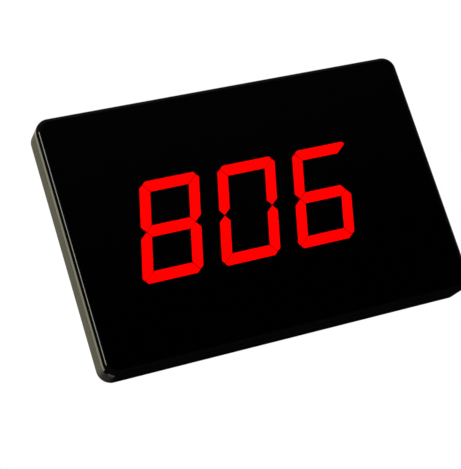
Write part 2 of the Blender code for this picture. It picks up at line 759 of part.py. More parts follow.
def make_board_parts():
    for name, (centre, size) in CHIPS.items():
        board_part(name, centre, size, "chip_black", edge=CHIP_EDGE)
    width, height, depth = CRYSTAL_SIZE
    can = bmesh.new()
    slab(can, CRYSTAL_CENTRE, (width, height), PART_SEAT, PART_SEAT + depth, height / 2 - FIT)
    piece("crystal", can, "steel")
    for number, (x, z) in enumerate(CAPACITOR_CENTRES, 1):
        profile = [
            (0, 0),
            (CAPACITOR_RADIUS, 0),
            (CAPACITOR_RADIUS, CAPACITOR_HEIGHT - CAPACITOR_EDGE),
            (CAPACITOR_RADIUS - CAPACITOR_EDGE, CAPACITOR_HEIGHT),
            (0, CAPACITOR_HEIGHT),
        ]
        solid = turned(profile, SCREW_SEGMENTS)
        piece(f"capacitor_{number}", solid, "steel", (x, PART_SEAT, z), (-math.pi / 2, 0, 0))
    board_part("speaker_connector", SPEAKER_CONNECTOR_CENTRE, SPEAKER_CONNECTOR_SIZE, "connector_white")


def make_ribbon():
    """The two ribbon connectors and the cable that arches between them."""
    half = RIBBON_CONNECTOR_WIDTH / 2
    main_x = DIGIT_GROUP_X + MAIN_HALF_WIDTH - RIBBON_CONNECTOR_INSET - half
    control_x = CONTROL_LEFT + RIBBON_CONNECTOR_INSET + half
    size = (RIBBON_CONNECTOR_WIDTH, RIBBON_CONNECTOR_LENGTH, RIBBON_CONNECTOR_HEIGHT)
    board_part("ribbon_connector_main", (main_x, 0), size, "connector_white")
    board_part("ribbon_connector_control", (control_x, 0), size, "connector_white")
    start, end = main_x + half + FIT, control_x - half - FIT
    level = PART_SEAT + RIBBON_CONNECTOR_HEIGHT / 2
    line = []
    for step in range(RIBBON_STEPS + 1):
        share = step / RIBBON_STEPS
        rise = RIBBON_ARCH * (1 - math.cos(math.tau * share)) / 2
        line.append((start + (end - start) * share, level + rise))
    back = [(x, y + RIBBON_THICKNESS) for x, y in reversed(line)]
    bm = bmesh.new()
    face = bm.faces.new([bm.verts.new((x, y, -RIBBON_WIDTH / 2)) for x, y in line + back])
    made = bmesh.ops.extrude_face_region(bm, geom=[face])["geom"]
    moved = [item for item in made if isinstance(item, bmesh.types.BMVert)]
    bmesh.ops.translate(bm, vec=(0, 0, RIBBON_WIDTH), verts=moved)
    piece("ribbon_cable", bm, "ribbon_white")


def make_radio():
    x, z = RF_CENTRE
    board_part("rf_header", (x, z + RF_HEADER_OFFSET), RF_HEADER_SIZE, "chip_black")
    board_seat = PART_SEAT + RF_HEADER_SIZE[2] + FIT
    board_part("rf_receiver_board", RF_CENTRE, RF_BOARD_SIZE, "board_green", board_seat)
    can_seat = board_seat + RF_BOARD_SIZE[2] + FIT
    board_part("rf_shield_can", RF_CENTRE, RF_CAN_SIZE, "steel", can_seat)
    level = board_seat + RF_BOARD_SIZE[2] / 2
    low = z + RF_BOARD_SIZE[1] / 2
    bottom = low + ANTENNA_GAP
    lead = [(x, level, low + FIT), (x, level, bottom - ANTENNA_GAP / 2)]
    coil = []
    for step in range(ANTENNA_TURNS * ANTENNA_TURN_STEPS + 1):
        turn = step / ANTENNA_TURN_STEPS
        angle = math.tau * turn
        across = ANTENNA_RADIUS * math.cos(angle)
        deep = ANTENNA_RADIUS * math.sin(angle)
        coil.append((x + across, level + deep, bottom + turn * ANTENNA_PITCH))
    wire("helical_antenna", lead + coil, ANTENNA_WIRE_RADIUS, "copper")


# Loudspeaker


def make_speaker():
    place, turn = (SPEAKER_X, SPEAKER_BACK, SPEAKER_Z), (-math.pi / 2, 0, 0)
    shoulder = SPEAKER_DEPTH - SPEAKER_RIM
    inner = SPEAKER_RADIUS - SPEAKER_RIM
    basket = [
        (0, 0),
        (MAGNET_RADIUS, 0),
        (MAGNET_RADIUS, MAGNET_DEPTH),
        (SPEAKER_RADIUS - SPEAKER_RIM / 2, shoulder),
        (SPEAKER_RADIUS, shoulder),
        (SPEAKER_RADIUS, SPEAKER_DEPTH),
        (inner, SPEAKER_DEPTH),
        (inner, shoulder + SPEAKER_RIM / 2),
        (BASKET_FLOOR_RADIUS, BASKET_FLOOR),
        (0, BASKET_FLOOR),
    ]
    piece("speaker_basket", turned(basket, SPEAKER_SEGMENTS), "steel", place, turn)
    edge = inner - FIT
    low = BASKET_FLOOR + FIT
    high = SPEAKER_DEPTH - CONE_THICKNESS
    cone = [
        (0, low),
        (BASKET_FLOOR_RADIUS - FIT, low),
        (edge, high),
        (edge, high + CONE_THICKNESS),
        (BASKET_FLOOR_RADIUS - FIT, low + CONE_THICKNESS),
        (0, low + CONE_THICKNESS),
    ]
    piece("speaker_cone", turned(cone, SPEAKER_SEGMENTS), "paper_cone", place, turn)
    plug_x, plug_z = SPEAKER_CONNECTOR_CENTRE
    plug_low = plug_z - SPEAKER_CONNECTOR_SIZE[1] / 2 - FIT
    level = SPEAKER_BACK + MAGNET_DEPTH / 2
    start_z = SPEAKER_Z + MAGNET_RADIUS + LEAD_RADIUS + FIT
    lift = (SPEAKER_CONNECTOR_SIZE[2] - MAGNET_DEPTH) / 4
    for name, side in (("speaker_lead_red", -1), ("speaker_lead_black", 1)):
        offset = side * LEAD_SPACING / 2
        corners = [
            (SPEAKER_X + offset, level, start_z),
            (SPEAKER_X + offset, level + lift, (start_z * 2 + plug_low) / 3),
            (plug_x + offset, level + 2 * lift, (start_z + plug_low * 2) / 3),
            (plug_x + offset, level + 2 * lift, plug_low),
        ]
        wire(name, smooth_route(corners, LEAD_STEPS), LEAD_RADIUS, name.replace("speaker_", ""))


# Keys, power switch and power inlet


def key_heights():
    first = KEYS_Z + (KEY_COUNT - 1) * KEY_PITCH / 2
    return [first - index * KEY_PITCH for index in range(KEY_COUNT)]


def make_key(number, z):
    """A key cap, the tact switch behind it and the plunger that the two share."""
    origin = (HALF_WIDTH, KEY_Y, z)
    half_y, half_z = KEY_THICKNESS / 2, KEY_LENGTH / 2
    flange_right = KEY_FLANGE_X - HALF_WIDTH
    flange_left = flange_right - KEY_FLANGE_THICKNESS
    cap = bmesh.new()
    verts = box(cap, (flange_right - OVERLAP, -half_y, -half_z), (KEY_PROUD, half_y, half_z))
    round_edges(cap, edges_along(verts, 0), KEY_EDGE, 1)
    top = [edge for edge in cap.edges if all(abs(vert.co.x - KEY_PROUD) < TOUCH for vert in edge.verts)]
    round_edges(cap, top, KEY_EDGE, 1)
    key = piece(f"key_cap_{number}", cap, "matte_black", origin)
    flange = bmesh.new()
    wide_y, wide_z = half_y + KEY_FLANGE_MARGIN, half_z + KEY_FLANGE_MARGIN
    box(flange, (flange_left, -wide_y, -wide_z), (flange_right, wide_y, wide_z))
    fuse(key, flange)
    stem = bmesh.new()
    half = KEY_STEM_WIDTH / 2
    box(stem, (KEY_STEM_TIP - HALF_WIDTH, -half, -half), (flange_left + OVERLAP, half, half))
    fuse(key, stem)

    plunger = bmesh.new()
    rod(plunger, (0, 0, 0), (-PLUNGER_LENGTH, 0, 0), PLUNGER_RADIUS, SCREW_SEGMENTS)
    piece(f"tact_plunger_{number}", plunger, "chip_black", (PLUNGER_TIP, KEY_Y, z))

    body = bmesh.new()
    half = TACT_SIZE / 2
    box(body, (TACT_FRONT - TACT_DEPTH, PART_SEAT, z - half), (TACT_FRONT, PART_SEAT + TACT_HEIGHT, z + half))
    tact = piece(f"tact_switch_{number}", body, "chip_black")
    bore = bmesh.new()
    start, end = (TACT_FRONT + REACH, KEY_Y, z), (TACT_FRONT - PLUNGER_BORE_DEPTH, KEY_Y, z)
    rod(bore, start, end, PLUNGER_RADIUS + PLUNGER_CLEARANCE, SCREW_SEGMENTS)
    cut(tact, bore)


def make_power_switch():
    housing = bmesh.new()
    half = SWITCH_LENGTH / 2
    low = (TACT_FRONT - SWITCH_DEPTH, PART_SEAT, SWITCH_Z - half)
    box(housing, low, (TACT_FRONT, PART_SEAT + SWITCH_HEIGHT, SWITCH_Z + half))
    body = piece("power_switch_housing", housing, "steel")
    slot = bmesh.new()
    half_y = KNOB_TANG_THICKNESS / 2 + FIT
    half_z = (KNOB_TANG_LENGTH + SWITCH_TRAVEL) / 2 + FIT
    low = (TACT_FRONT - KNOB_TANG_DEPTH - FIT, SWITCH_Y - half_y, SWITCH_Z - half_z)
    box(slot, low, (TACT_FRONT + REACH, SWITCH_Y + half_y, SWITCH_Z + half_z))
    cut(body, slot)

    origin = (HALF_WIDTH, SWITCH_Y, SWITCH_Z + SWITCH_TRAVEL / 2)
    neck = TACT_FRONT + FIT - HALF_WIDTH
    half_y, half_z = KNOB_THICKNESS / 2, KNOB_LENGTH / 2
    knob = bmesh.new()
    box(knob, (neck, -half_y, -half_z), (KNOB_PROUD, half_y, half_z))
    made = piece("power_switch_knob", knob, "matte_black", origin)
    tang = bmesh.new()
    half_y, half_z = KNOB_TANG_THICKNESS / 2, KNOB_TANG_LENGTH / 2
    left = TACT_FRONT - KNOB_TANG_DEPTH - HALF_WIDTH
    box(tang, (left, -half_y, -half_z), (neck + OVERLAP, half_y, half_z))
    fuse(made, tang)


def make_power_inlet():
    body = bmesh.new()
    half_y, half_z = JACK_HEIGHT / 2, JACK_WIDTH / 2
    low = (JACK_FRONT - JACK_LENGTH, JACK_Y - half_y, JACK_Z - half_z)
    box(body, low, (JACK_FRONT, JACK_Y + half_y, JACK_Z + half_z))
    jack = piece("dc_jack", body, "chip_black")
    bore = bmesh.new()
    floor = JACK_FRONT - JACK_BORE_DEPTH
    rod(bore, (floor, JACK_Y, JACK_Z), (JACK_FRONT + REACH, JACK_Y, JACK_Z), JACK_BORE_RADIUS)
    cut(jack, bore)
    pin = bmesh.new()
    tip = JACK_FRONT - JACK_PIN_RECESS
    start, end = (floor - OVERLAP, JACK_Y, JACK_Z), (tip, JACK_Y, JACK_Z)
    rod(pin, start, end, JACK_PIN_RADIUS, SCREW_SEGMENTS)
    fuse(jack, pin)


def main():
    clear_scene()
    make_front_shell()
    make_window()
    make_rear_cover()
    make_screws()
    make_digits()
    make_boards()
    make_board_parts()
    make_ribbon()
    make_radio()
    make_speaker()
    for number, z in enumerate(key_heights(), 1):
        make_key(number, z)
    make_power_switch()
    make_power_inlet()


main()
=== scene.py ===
"""Looks for a call pager display: a flat gloss black case with three red seven-segment digits.

Frame: X to the right, Y from the front face back to the wall, Z up, in metres.
"""

import json
import math

import bmesh
import bpy
from bpy.props import FloatProperty, FloatVectorProperty, PointerProperty
from mathutils import Matrix, Quaternion, Vector


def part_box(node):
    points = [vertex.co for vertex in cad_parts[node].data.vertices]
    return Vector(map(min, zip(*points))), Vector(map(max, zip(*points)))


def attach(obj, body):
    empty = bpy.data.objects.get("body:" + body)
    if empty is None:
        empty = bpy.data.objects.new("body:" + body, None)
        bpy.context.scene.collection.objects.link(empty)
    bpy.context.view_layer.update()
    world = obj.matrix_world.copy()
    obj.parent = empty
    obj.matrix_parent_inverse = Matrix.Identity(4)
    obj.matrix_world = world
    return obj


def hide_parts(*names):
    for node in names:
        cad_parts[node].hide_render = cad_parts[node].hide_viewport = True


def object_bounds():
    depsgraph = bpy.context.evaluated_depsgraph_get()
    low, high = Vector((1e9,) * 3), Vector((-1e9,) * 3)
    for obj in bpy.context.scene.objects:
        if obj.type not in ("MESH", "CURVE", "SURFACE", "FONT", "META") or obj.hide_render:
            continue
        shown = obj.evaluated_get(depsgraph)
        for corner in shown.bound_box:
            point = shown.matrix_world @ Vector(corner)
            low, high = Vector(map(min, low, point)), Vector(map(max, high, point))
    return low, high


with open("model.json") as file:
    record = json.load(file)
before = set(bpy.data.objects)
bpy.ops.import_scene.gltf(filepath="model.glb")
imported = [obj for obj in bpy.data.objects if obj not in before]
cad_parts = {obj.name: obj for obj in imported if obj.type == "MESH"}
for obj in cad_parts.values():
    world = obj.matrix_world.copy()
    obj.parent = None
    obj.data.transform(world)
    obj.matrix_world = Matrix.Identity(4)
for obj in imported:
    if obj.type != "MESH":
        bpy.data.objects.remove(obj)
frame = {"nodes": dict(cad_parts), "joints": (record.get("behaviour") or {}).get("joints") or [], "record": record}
CAD_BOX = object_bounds()

bl_info = {
    "name": "Call pager display",
    "version": (1, 0, 0),
    "blender": (4, 5, 0),
    "location": "3D View > Sidebar > Pager",
    "description": "Builds the finished surfaces of a wall display for call pagers",
    "category": "Object",
}

MM = 0.001

# Within this distance two levels are the same
TOUCH = 0.01 * MM

# How far cutters reach past a face and joined shapes overlap, and the gap between a part and its board
REACH = 1 * MM
OVERLAP = 0.3 * MM
BOARD_GAP = 2 * TOUCH

# Segments of curves, and the directions along a quarter of a circle
CORNER_STEPS = 24
FILLET_STEPS = 8
ROUND_STEPS = 48
SCREW_STEPS = 32
DIMPLE_STEPS = 24
GROOVE_STEPS = 16
SLOT_STEPS = 12
KEY_STEPS = 6
SOFT_STEPS = 4
SMALL_STEPS = 3
FINE_STEPS = 2
ARC_ANGLES = [math.radians(angle) for angle in range(0, 91, 15)]

# Angle between faces that share smooth shading, and how far the faces of an edge or of a top may lean
SHARP_ANGLE = math.radians(32)
EDGE_FACING = 0.1
FLAT_FACING = 0.99

# Case
APERTURE_CORNER = 1.5 * MM
SIDE_HOLE_DEPTH = 3 * MM
GUIDE_CLEARANCE = 0.05 * MM
GUIDE_PLATE_BEVEL = 0.2 * MM

# Wear, in millimetres: how far it reaches in from the cover's sides and rear, and from a key's face
WORN_SIDE = 2.5
WORN_SIDE_FADE = 2.4
WORN_REAR = 1.4
WORN_KEY = 0.25

# Keys
KEY_PROUD = 1 * MM
KEY_FLANGE = 1 * MM
KEY_STEM = 2.4 * MM
KEY_ROUND = 0.4 * MM
KEY_DISH = 0.18 * MM
KEY_FACE_DEPTH = 2 * MM

# Switch knob
KNOB_CORNER = 0.5 * MM
KNOB_ROUND = 0.25 * MM
KNOB_GROOVE = 0.3 * MM
KNOB_GROOVE_PITCH = 0.85 * MM
KNOB_GROOVES = (-1, 0, 1)

# Power socket
SOCKET_DEPTH = 9.5 * MM
SOCKET_BORE = 3.2 * MM
SOCKET_ROUND = 0.3 * MM
SOCKET_SLEEVE = 0.3 * MM
SOCKET_GAP = 0.02 * MM
SOCKET_PIN = 1.05 * MM
SLEEVE_SHORT = 1 * MM
SLEEVE_LEAD_IN = 0.3 * MM
PIN_SHORT = 1.2 * MM

# Screws, with shares of the head's radius or height, of the shank's radius and of the thread's pitch
HEAD_HEIGHT = 1.8 * MM
HEAD_EDGE = 0.25 * MM
HEAD_WALL_SHARE = 0.45
CROWN_FLAT_SHARE = 0.62
RECESS_DEPTH = 1.1 * MM
RECESS_REACH_SHARE = 0.58
RECESS_HALF_SHARE = 0.13
RECESS_FLARE_SHARE = 0.6
SHANK_SHARE = 0.5
TIP_SHARE = 0.3
ROOT_SHARE = 0.8
THREAD_PITCH = 0.7 * MM
THREAD_RISE_SHARE = 0.3
THREAD_CREST_SHARE = 0.65

# Chips and their leads
CHIP_DRAFT = 0.15 * MM
CHIP_DIMPLE = 0.4 * MM
CHIP_DIMPLE_DEPTH = 0.1 * MM
CHIP_DIMPLE_INSET = 1 * MM
CHIP_END_MARGIN = 0.5 * MM
LEAD_THICKNESS = 0.15 * MM
LEAD_WIDTH = 0.35 * MM
LEAD_ROOT = 0.3 * MM
LEAD_SHOULDER = 0.35 * MM
LEAD_KNEE = 0.55 * MM
LEAD_REACH = 1.1 * MM

# Capacitors
CAP_BASE = 0.9 * MM
CAP_GROOVE = 0.35 * MM
CAP_SIDE = CAP_GROOVE / 4
CAP_SHOULDER = 2.4 * CAP_GROOVE
CAP_VENT = 0.15 * MM
CAP_SCORE_SHARE = 0.6
CAP_BASE_CUT_SHARE = 0.4

# Flat cable: the pitch of its wires and the width of the marked one, in millimetres
WIRE_PITCH = 1.2
MARKED_WIRE = 1.1

# Rings of the loudspeaker's cone, in radians for each millimetre
CONE_RINGS = 4

# Connectors
CONNECTOR_ROUND = 0.3 * MM
CONNECTOR_POCKET = 0.9 * MM
POCKET_HALF_SHARE = 0.3

# Floor and camera
FLOOR_RADIUS = 6
FLOOR_STEPS = 96
FLOOR_GAP = 0.2 * MM
SENSOR_WIDTH = 36

# Brightness of the surroundings for the camera and for soft light, and in reflections: low and overhead
SKY_CAMERA = 1.0
SKY_DIFFUSE = 0.7
SKY_LOW, SKY_HIGH = 0.005, 0.12
SKY_RISE_START = 0.2

# Each soft panel's azimuth and elevation in degrees, distance, width and height, brightness and colour
PANELS = {
    "ceiling_panel": (0, 80, 2.4, 3.2, 3.2, 0.8, (1, 1, 1)),
    "rear_left_panel": (-158.5, 13.4, 1.3, 0.9, 0.9, 0.78, (1, 0.96, 0.66)),
    "rear_low_panel": (-171, -14, 1.3, 0.34, 0.5, 0.2, (0.97, 0.97, 1)),
    "rear_right_panel": (140, 30, 1.5, 0.9, 0.9, 0.8, (1, 1, 1)),
    "right_panel": (108, 8, 1.7, 2.4, 1.2, 0.3, (1, 0.98, 0.84)),
    "edge_strip": (-33, 13, 1.6, 0.5, 0.7, 8, (1, 1, 0.9)),
}

# Distance between the leads of each chip, and the sides they leave from as (x, z)
LEAD_LAYOUTS = {
    "microcontroller": (0.8 * MM, ((-1, 0), (1, 0), (0, -1), (0, 1))),
    "led_driver": (1.27 * MM, ((0, -1), (0, 1))),
    "audio_amplifier": (1.27 * MM, ((0, -1), (0, 1))),
    "voltage_regulator": (2.3 * MM, ((0, -1),)),
}

# Each connector's pitch and the rows of its contacts as shares of its width from the middle
CONNECTOR_LAYOUTS = (
    ("speaker_connector", 2 * MM, (0,)),
    ("ribbon_connector_main", 1.27 * MM, (-0.2, 0.2)),
    ("ribbon_connector_control", 1.27 * MM, (-0.2, 0.2)),
)

# The bars of a seven-segment digit, and those that stay dark for each figure shown
DIGIT_BARS = ("top", "bottom", "middle", "left_top", "left_bottom", "right_top", "right_bottom")
SHOWN_FIGURES = {1: (), 2: ("middle",), 3: ("right_top",)}


# Sizes and colours that a user would change


def millimetres(name, text, size):
    return FloatProperty(name=name, description=text, default=size * MM, unit="LENGTH", precision=5)


def shade(name, text, value):
    given = {"name": name, "description": text, "default": value}
    return FloatVectorProperty(**given, size=3, min=0, subtype="COLOR")


def degrees(name, text, size):
    return FloatProperty(name=name, description=text, default=math.radians(size), subtype="ANGLE")


class PagerCaseSizes(bpy.types.PropertyGroup):
    wall: millimetres("Wall", "Thickness of the side and rear walls", 2)
    front_fillet: millimetres("Front fillet", "Radius round the front edge of the case", 2.2)
    rear_fillet: millimetres("Rear fillet", "Radius round the rear edge of the case", 1.2)
    seam_bevel: millimetres("Seam bevel", "Bevel on both edges of the seam between the shells", 0.2)
    rim_bevel: millimetres("Rim bevel", "Bevel on the inner edge of the rim round the window", 0.12)
    window_bevel: millimetres("Window bevel", "Polished bevel round the front of the window", 0.25)
    face_plate: millimetres("Face plate", "Thickness of the plate behind the window", 1.5)
    boss_radius: millimetres("Boss radius", "Outer radius of the bosses for the case screws", 4.2)
    small_boss_radius: millimetres("Board boss", "Outer radius of the bosses under the boards", 2.8)
    tongue: millimetres("Tongue", "Thickness of the lip that locates the rear cover", 1.2)
    tongue_length: millimetres("Tongue length", "Length of the lip on each side of the seam", 2)
    fit: millimetres("Fit", "Gap between neighbouring parts", 0.3)
    mouth: millimetres("Hole chamfer", "Chamfer round the holes in the case", 0.3)


class PagerHoleSizes(bpy.types.PropertyGroup):
    keyhole_head: millimetres("Keyhole head", "Radius of the hole that a wall screw's head passes", 4.5)
    keyhole_neck: millimetres("Keyhole neck", "Width of the slot for the wall screw's neck", 5)
    keyhole_rise: millimetres("Keyhole rise", "How far the neck slides up in its slot", 8)
    grille_slot: millimetres("Grille slot", "Width of a slot over the loudspeaker", 1.5)
    grille_pitch: millimetres("Grille pitch", "From one slot to the next", 3.2)
    grille_margin: millimetres("Grille margin", "From the slots to the rim of the loudspeaker", 2.5)
    grille_chamfer: millimetres("Grille chamfer", "Chamfer round each slot", 0.25)
    key_gap: millimetres("Key gap", "Gap between a key and the wall", 0.25)
    key_corner: millimetres("Key corner", "Corner radius of a key cap", 0.8)
    plug_hole: millimetres("Plug hole", "Radius of the hole for the power plug", 4)
    case_screw_hole: millimetres("Case screw hole", "Radius of the holes for the case screws", 1.7)
    board_screw_hole: millimetres("Board screw hole", "Radius of the holes for the board screws", 1.5)


class PagerDigitSizes(bpy.types.PropertyGroup):
    height: millimetres("Height", "Height of a digit", 57)
    width: millimetres("Width", "Width of a digit before it is slanted", 35.6)
    slant: FloatProperty(name="Slant", description="Sideways shift per unit of height", default=0.26)
    bar: millimetres("Bar", "Width of a bar", 6.2)
    gap: millimetres("Gap", "Gap between neighbouring bars", 0.45)
    corner: millimetres("Corner", "Size of the cut at the outer corners", 3.5)
    bevel: millimetres("Bevel", "Bevel round the front of each bar", 0.12)
    plate: millimetres("Plate", "Thickness of the plate that carries the bars", 1.3)


class PagerColours(bpy.types.PropertyGroup):
    gloss: shade("Gloss black", "Polished front shell", (0.0022, 0.0022, 0.002))
    satin: shade("Satin black", "Rear cover", (0.024, 0.022, 0.018))
    window: shade("Window tint", "Light that passes the smoked window", (0.22, 0.06, 0.06))
    lit: shade("Lit red", "Light of a bar that is on", (1.0, 0.0, 0.0))
    dark: shade("Dark bar", "Resin of a bar that is off", (0.012, 0.002, 0.002))
    mask: shade("Solder mask", "Lacquer of the circuit boards", (0.008, 0.075, 0.028))


class PagerStage(bpy.types.PropertyGroup):
    azimuth: degrees("Azimuth", "Camera round the display", -21.34)
    elevation: degrees("Elevation", "Camera above level", -13.03)
    roll: degrees("Roll", "Turn about the line of sight", -17.53)
    distance: millimetres("Distance", "From the camera to the point it looks at", 818)
    aim_x: millimetres("Aim X", "Point on the front face that the camera looks at", -21.96)
    aim_z: millimetres("Aim Z", "Point on the front face that the camera looks at", -12.68)
    lens: FloatProperty(name="Lens", description="Focal length in millimetres", default=112.912, min=1)
    floor: shade("Floor", "Colour of the floor", (0.82, 0.82, 0.81))


class PagerSettings(bpy.types.PropertyGroup):
    case: PointerProperty(type=PagerCaseSizes, name="Case", description="Sizes of the case")
    holes: PointerProperty(type=PagerHoleSizes, name="Holes", description="Sizes of the holes and keys")
    digits: PointerProperty(type=PagerDigitSizes, name="Digits", description="Sizes of the digits")
    colours: PointerProperty(type=PagerColours, name="Colours", description="Colours of the finishes")
    stage: PointerProperty(type=PagerStage, name="Stage", description="Camera and floor")


def settings():
    """The sizes and colours that the scene holds."""
    return bpy.context.scene.pager_display


# Shader maths


class Value:
    """An output of a graph of nodes. Arithmetic on it adds Math nodes."""

    def __init__(self, graph, socket):
        self.graph = graph
        self.socket = socket

    def math(self, operation, *values):
        return self.graph.add("ShaderNodeMath", {"operation": operation}, dict(enumerate(values)))

    def __add__(self, other):
        return self.math("ADD", self, other)

    __radd__ = __add__

    def __sub__(self, other):
        return self.math("SUBTRACT", self, other)

    def __rsub__(self, other):
        return self.math("SUBTRACT", other, self)

    def __mul__(self, other):
        return self.math("MULTIPLY", self, other)

    __rmul__ = __mul__

    def __abs__(self):
        return self.math("ABSOLUTE", self)

    def power(self, other):
        return self.math("POWER", self, other)

    def wave(self):
        """A sine wave from 0 to 1."""
        return self.math("SINE", self) * 0.5 + 0.5

    def larger(self, other):
        return self.math("MAXIMUM", self, other)

    def ramp(self, low, high):
        """0 below low, 1 above high and a smooth step between."""
        inputs = {"Value": self, "From Min": low, "From Max": high}
        return self.graph.add("ShaderNodeMapRange", {"interpolation_type": "SMOOTHSTEP"}, inputs)


class Graph:
    """The nodes of a material or of the world."""

    def __init__(self, owner):
        owner.use_nodes = True
        self.nodes = owner.node_tree.nodes
        self.links = owner.node_tree.links

    def add(self, kind, options=None, inputs=None, output=0):
        """Adds a node: its settings first, then the values or links of its sockets."""
        node = self.nodes.new(kind)
        for key, value in (options or {}).items():
            setattr(node, key, value)
        for key, value in (inputs or {}).items():
            self.feed(node.inputs[key], value)
        return Value(self, node.outputs[output])

    def feed(self, socket, value):
        """Gives a socket a value or a link."""
        if isinstance(value, Value):
            self.links.new(value.socket, socket)
        else:
            socket.default_value = value

    def axes(self, vector):
        """The three numbers of a vector."""
        node = self.add("ShaderNodeSeparateXYZ", None, {0: vector}).socket.node
        return [Value(self, output) for output in node.outputs]


class Paint(Graph):
    """A material and the tools that add nodes to it."""

    def __init__(self, name, base, roughness, metallic=0.0, **constants):
        self.material = bpy.data.materials.new(name)
        super().__init__(self.material)
        self.shader = self.nodes["Principled BSDF"]
        self.material.diffuse_color = (*base, 1)
        self.set("Base Color", (*base, 1))
        self.set("Roughness", roughness)
        self.set("Metallic", metallic)
        for key, value in constants.items():
            self.set(key.replace("_", " ").title().replace("Ior", "IOR"), value)

    def set(self, name, value):
        """Gives a socket of the shader a value or a link."""
        self.feed(self.shader.inputs[name], value)

    def place(self, scale=(1, 1, 1), centre=(0, 0, 0), turn=(0, 0, 0)):
        """The place on the object in millimetres from a centre, times a scale."""
        point = self.add("ShaderNodeTexCoord", output="Object")
        scale = [factor / MM for factor in scale]
        shift = [-step * factor for step, factor in zip(centre, scale)]
        inputs = {"Vector": point, "Location": shift, "Scale": scale, "Rotation": turn}
        return self.add("ShaderNodeMapping", None, inputs)

    def noise(self, size, detail, rough, stretch=(1, 1, 1), twist=0.0):
        """Noise from 0 to 1 whose spots are about this many millimetres across."""
        vector = self.place([factor / size for factor in stretch])
        shape = {"Scale": 1, "Detail": detail, "Roughness": rough, "Distortion": twist}
        return self.add("ShaderNodeTexNoise", None, {"Vector": vector, **shape})

    def cells(self, size, randomness=1.0):
        """The distance from the middle of a cell, in a pattern of cells this many millimetres across."""
        inputs = {"Vector": self.place([1 / size] * 3), "Scale": 1, "Randomness": randomness}
        return self.add("ShaderNodeTexVoronoi", {"feature": "F1"}, inputs)

    def mix(self, share, first, second):
        """A colour between two, or one of them and a link."""
        values = [value if isinstance(value, Value) else (*value[:3], 1) for value in (first, second)]
        inputs = {0: share, 6: values[0], 7: values[1]}
        return self.add("ShaderNodeMix", {"data_type": "RGBA"}, inputs, 2)

    def finish(self, colour, roughness, *bump):
        """Sets the colour, the roughness and the bump, and gives the material."""
        self.set("Base Color", colour)
        self.set("Roughness", roughness)
        self.bump(*bump)
        return self.material

    def bump(self, height, distance, strength=1.0):
        """Raises the surface by a height from 0 to 1 times a distance in millimetres."""
        inputs = {"Height": height, "Distance": distance * MM, "Strength": strength}
        self.set("Normal", self.add("ShaderNodeBump", None, inputs))


# Finishes


def scaled(base, share, extra=0.0):
    """A colour with each channel times a share, plus an extra."""
    return [channel * share + extra for channel in base]


def scratches(paint, length, width, level):
    """Fine hairlines in two directions: 1 on a line and 0 elsewhere."""
    lines = None
    for stretch in ((width, 1, 1 / length), (1 / length, 1, width)):
        line = paint.noise(1, 2, 0.6, stretch, 0.4).ramp(level, level + 0.05)
        lines = line if lines is None else lines.larger(line)
    return lines


def gloss_black():
    """Polished black shell plastic with a faint orange peel, dust and hairlines."""
    base = settings().colours.gloss
    paint = Paint("gloss_black", base, 0.1, ior=1.5)
    peel = paint.noise(3.2, 2, 0.5)
    dust = paint.noise(0.35, 2, 0.7).ramp(0.72, 0.78)
    hair = scratches(paint, 30, 6, 0.71)
    colour = paint.mix(dust * 0.35, base, (0.02, 0.02, 0.018))
    roughness = 0.085 + peel * 0.03 + dust * 0.08 + hair * 0.06
    return paint.finish(colour, roughness, peel + hair * -0.15, 0.004)


def smoked_window():
    """Smoked acrylic, polished, with the faintest wipe marks."""
    tint = settings().colours.window
    paint = Paint("smoked_window", tint, 0.02, ior=1.49, transmission_weight=1.0)
    wipe = paint.noise(22, 3, 0.6, (1, 1, 0.35), 0.8).ramp(0.5, 0.75)
    hair = scratches(paint, 40, 7, 0.73)
    paint.set("Roughness", 0.012 + wipe * 0.012 + hair * 0.03)
    return paint.material


def edge_ink():
    """Black ink on the edge of the window, so that no light leaves it there."""
    paint = Paint("edge_ink", (0.004, 0.004, 0.004), 0.6)
    grain = paint.noise(0.5, 3, 0.6)
    paint.set("Base Color", paint.mix(grain, (0.002, 0.002, 0.002), (0.006, 0.006, 0.006)))
    paint.set("Roughness", 0.5 + grain * 0.2)
    return paint.material


def satin_case():
    """Satin moulded plastic with a spark-eroded grain, polished a little by handling at its edges."""
    base = settings().colours.satin
    high = CAD_BOX[1]
    paint = Paint("satin_case", base, 0.42, ior=1.5)
    grain = paint.noise(0.32, 3, 0.65)
    pits = paint.cells(0.45)
    mottle = paint.noise(26, 3, 0.55)
    x, y, z = paint.axes(paint.place())
    inset = [abs(place) - (edge / MM - WORN_SIDE) for place, edge in ((x, high.x), (z, high.z))]
    side = inset[0].larger(inset[1]).ramp(0, WORN_SIDE_FADE)
    rear = (y + WORN_REAR).ramp(0, WORN_REAR)
    worn = side * rear * paint.noise(5, 3, 0.7).ramp(0.35, 0.7)
    lighter = scaled(base, 1.5, 0.004)
    tone = paint.mix(mottle.ramp(0.3, 0.7), scaled(base, 0.78), base)
    tone = paint.mix(grain.ramp(0.35, 0.75) * 0.35, tone, lighter)
    colour = paint.mix(worn * 0.5, tone, lighter)
    roughness = 0.36 + mottle * 0.08 + grain * 0.08 - worn * 0.12
    return paint.finish(colour, roughness, grain * 0.7 + pits * 0.4, 0.02, 0.6)


def matte_black():
    """Matt black moulding that swallows light round the bars."""
    paint = Paint("matte_black", (0.003, 0.003, 0.003), 0.85, specular_ior_level=0.2)
    grain = paint.noise(0.4, 3, 0.7)
    colour = paint.mix(grain, (0.0018, 0.0018, 0.0018), (0.0045, 0.0042, 0.004))
    return paint.finish(colour, 0.8 + grain * 0.15, grain, 0.02, 0.5)


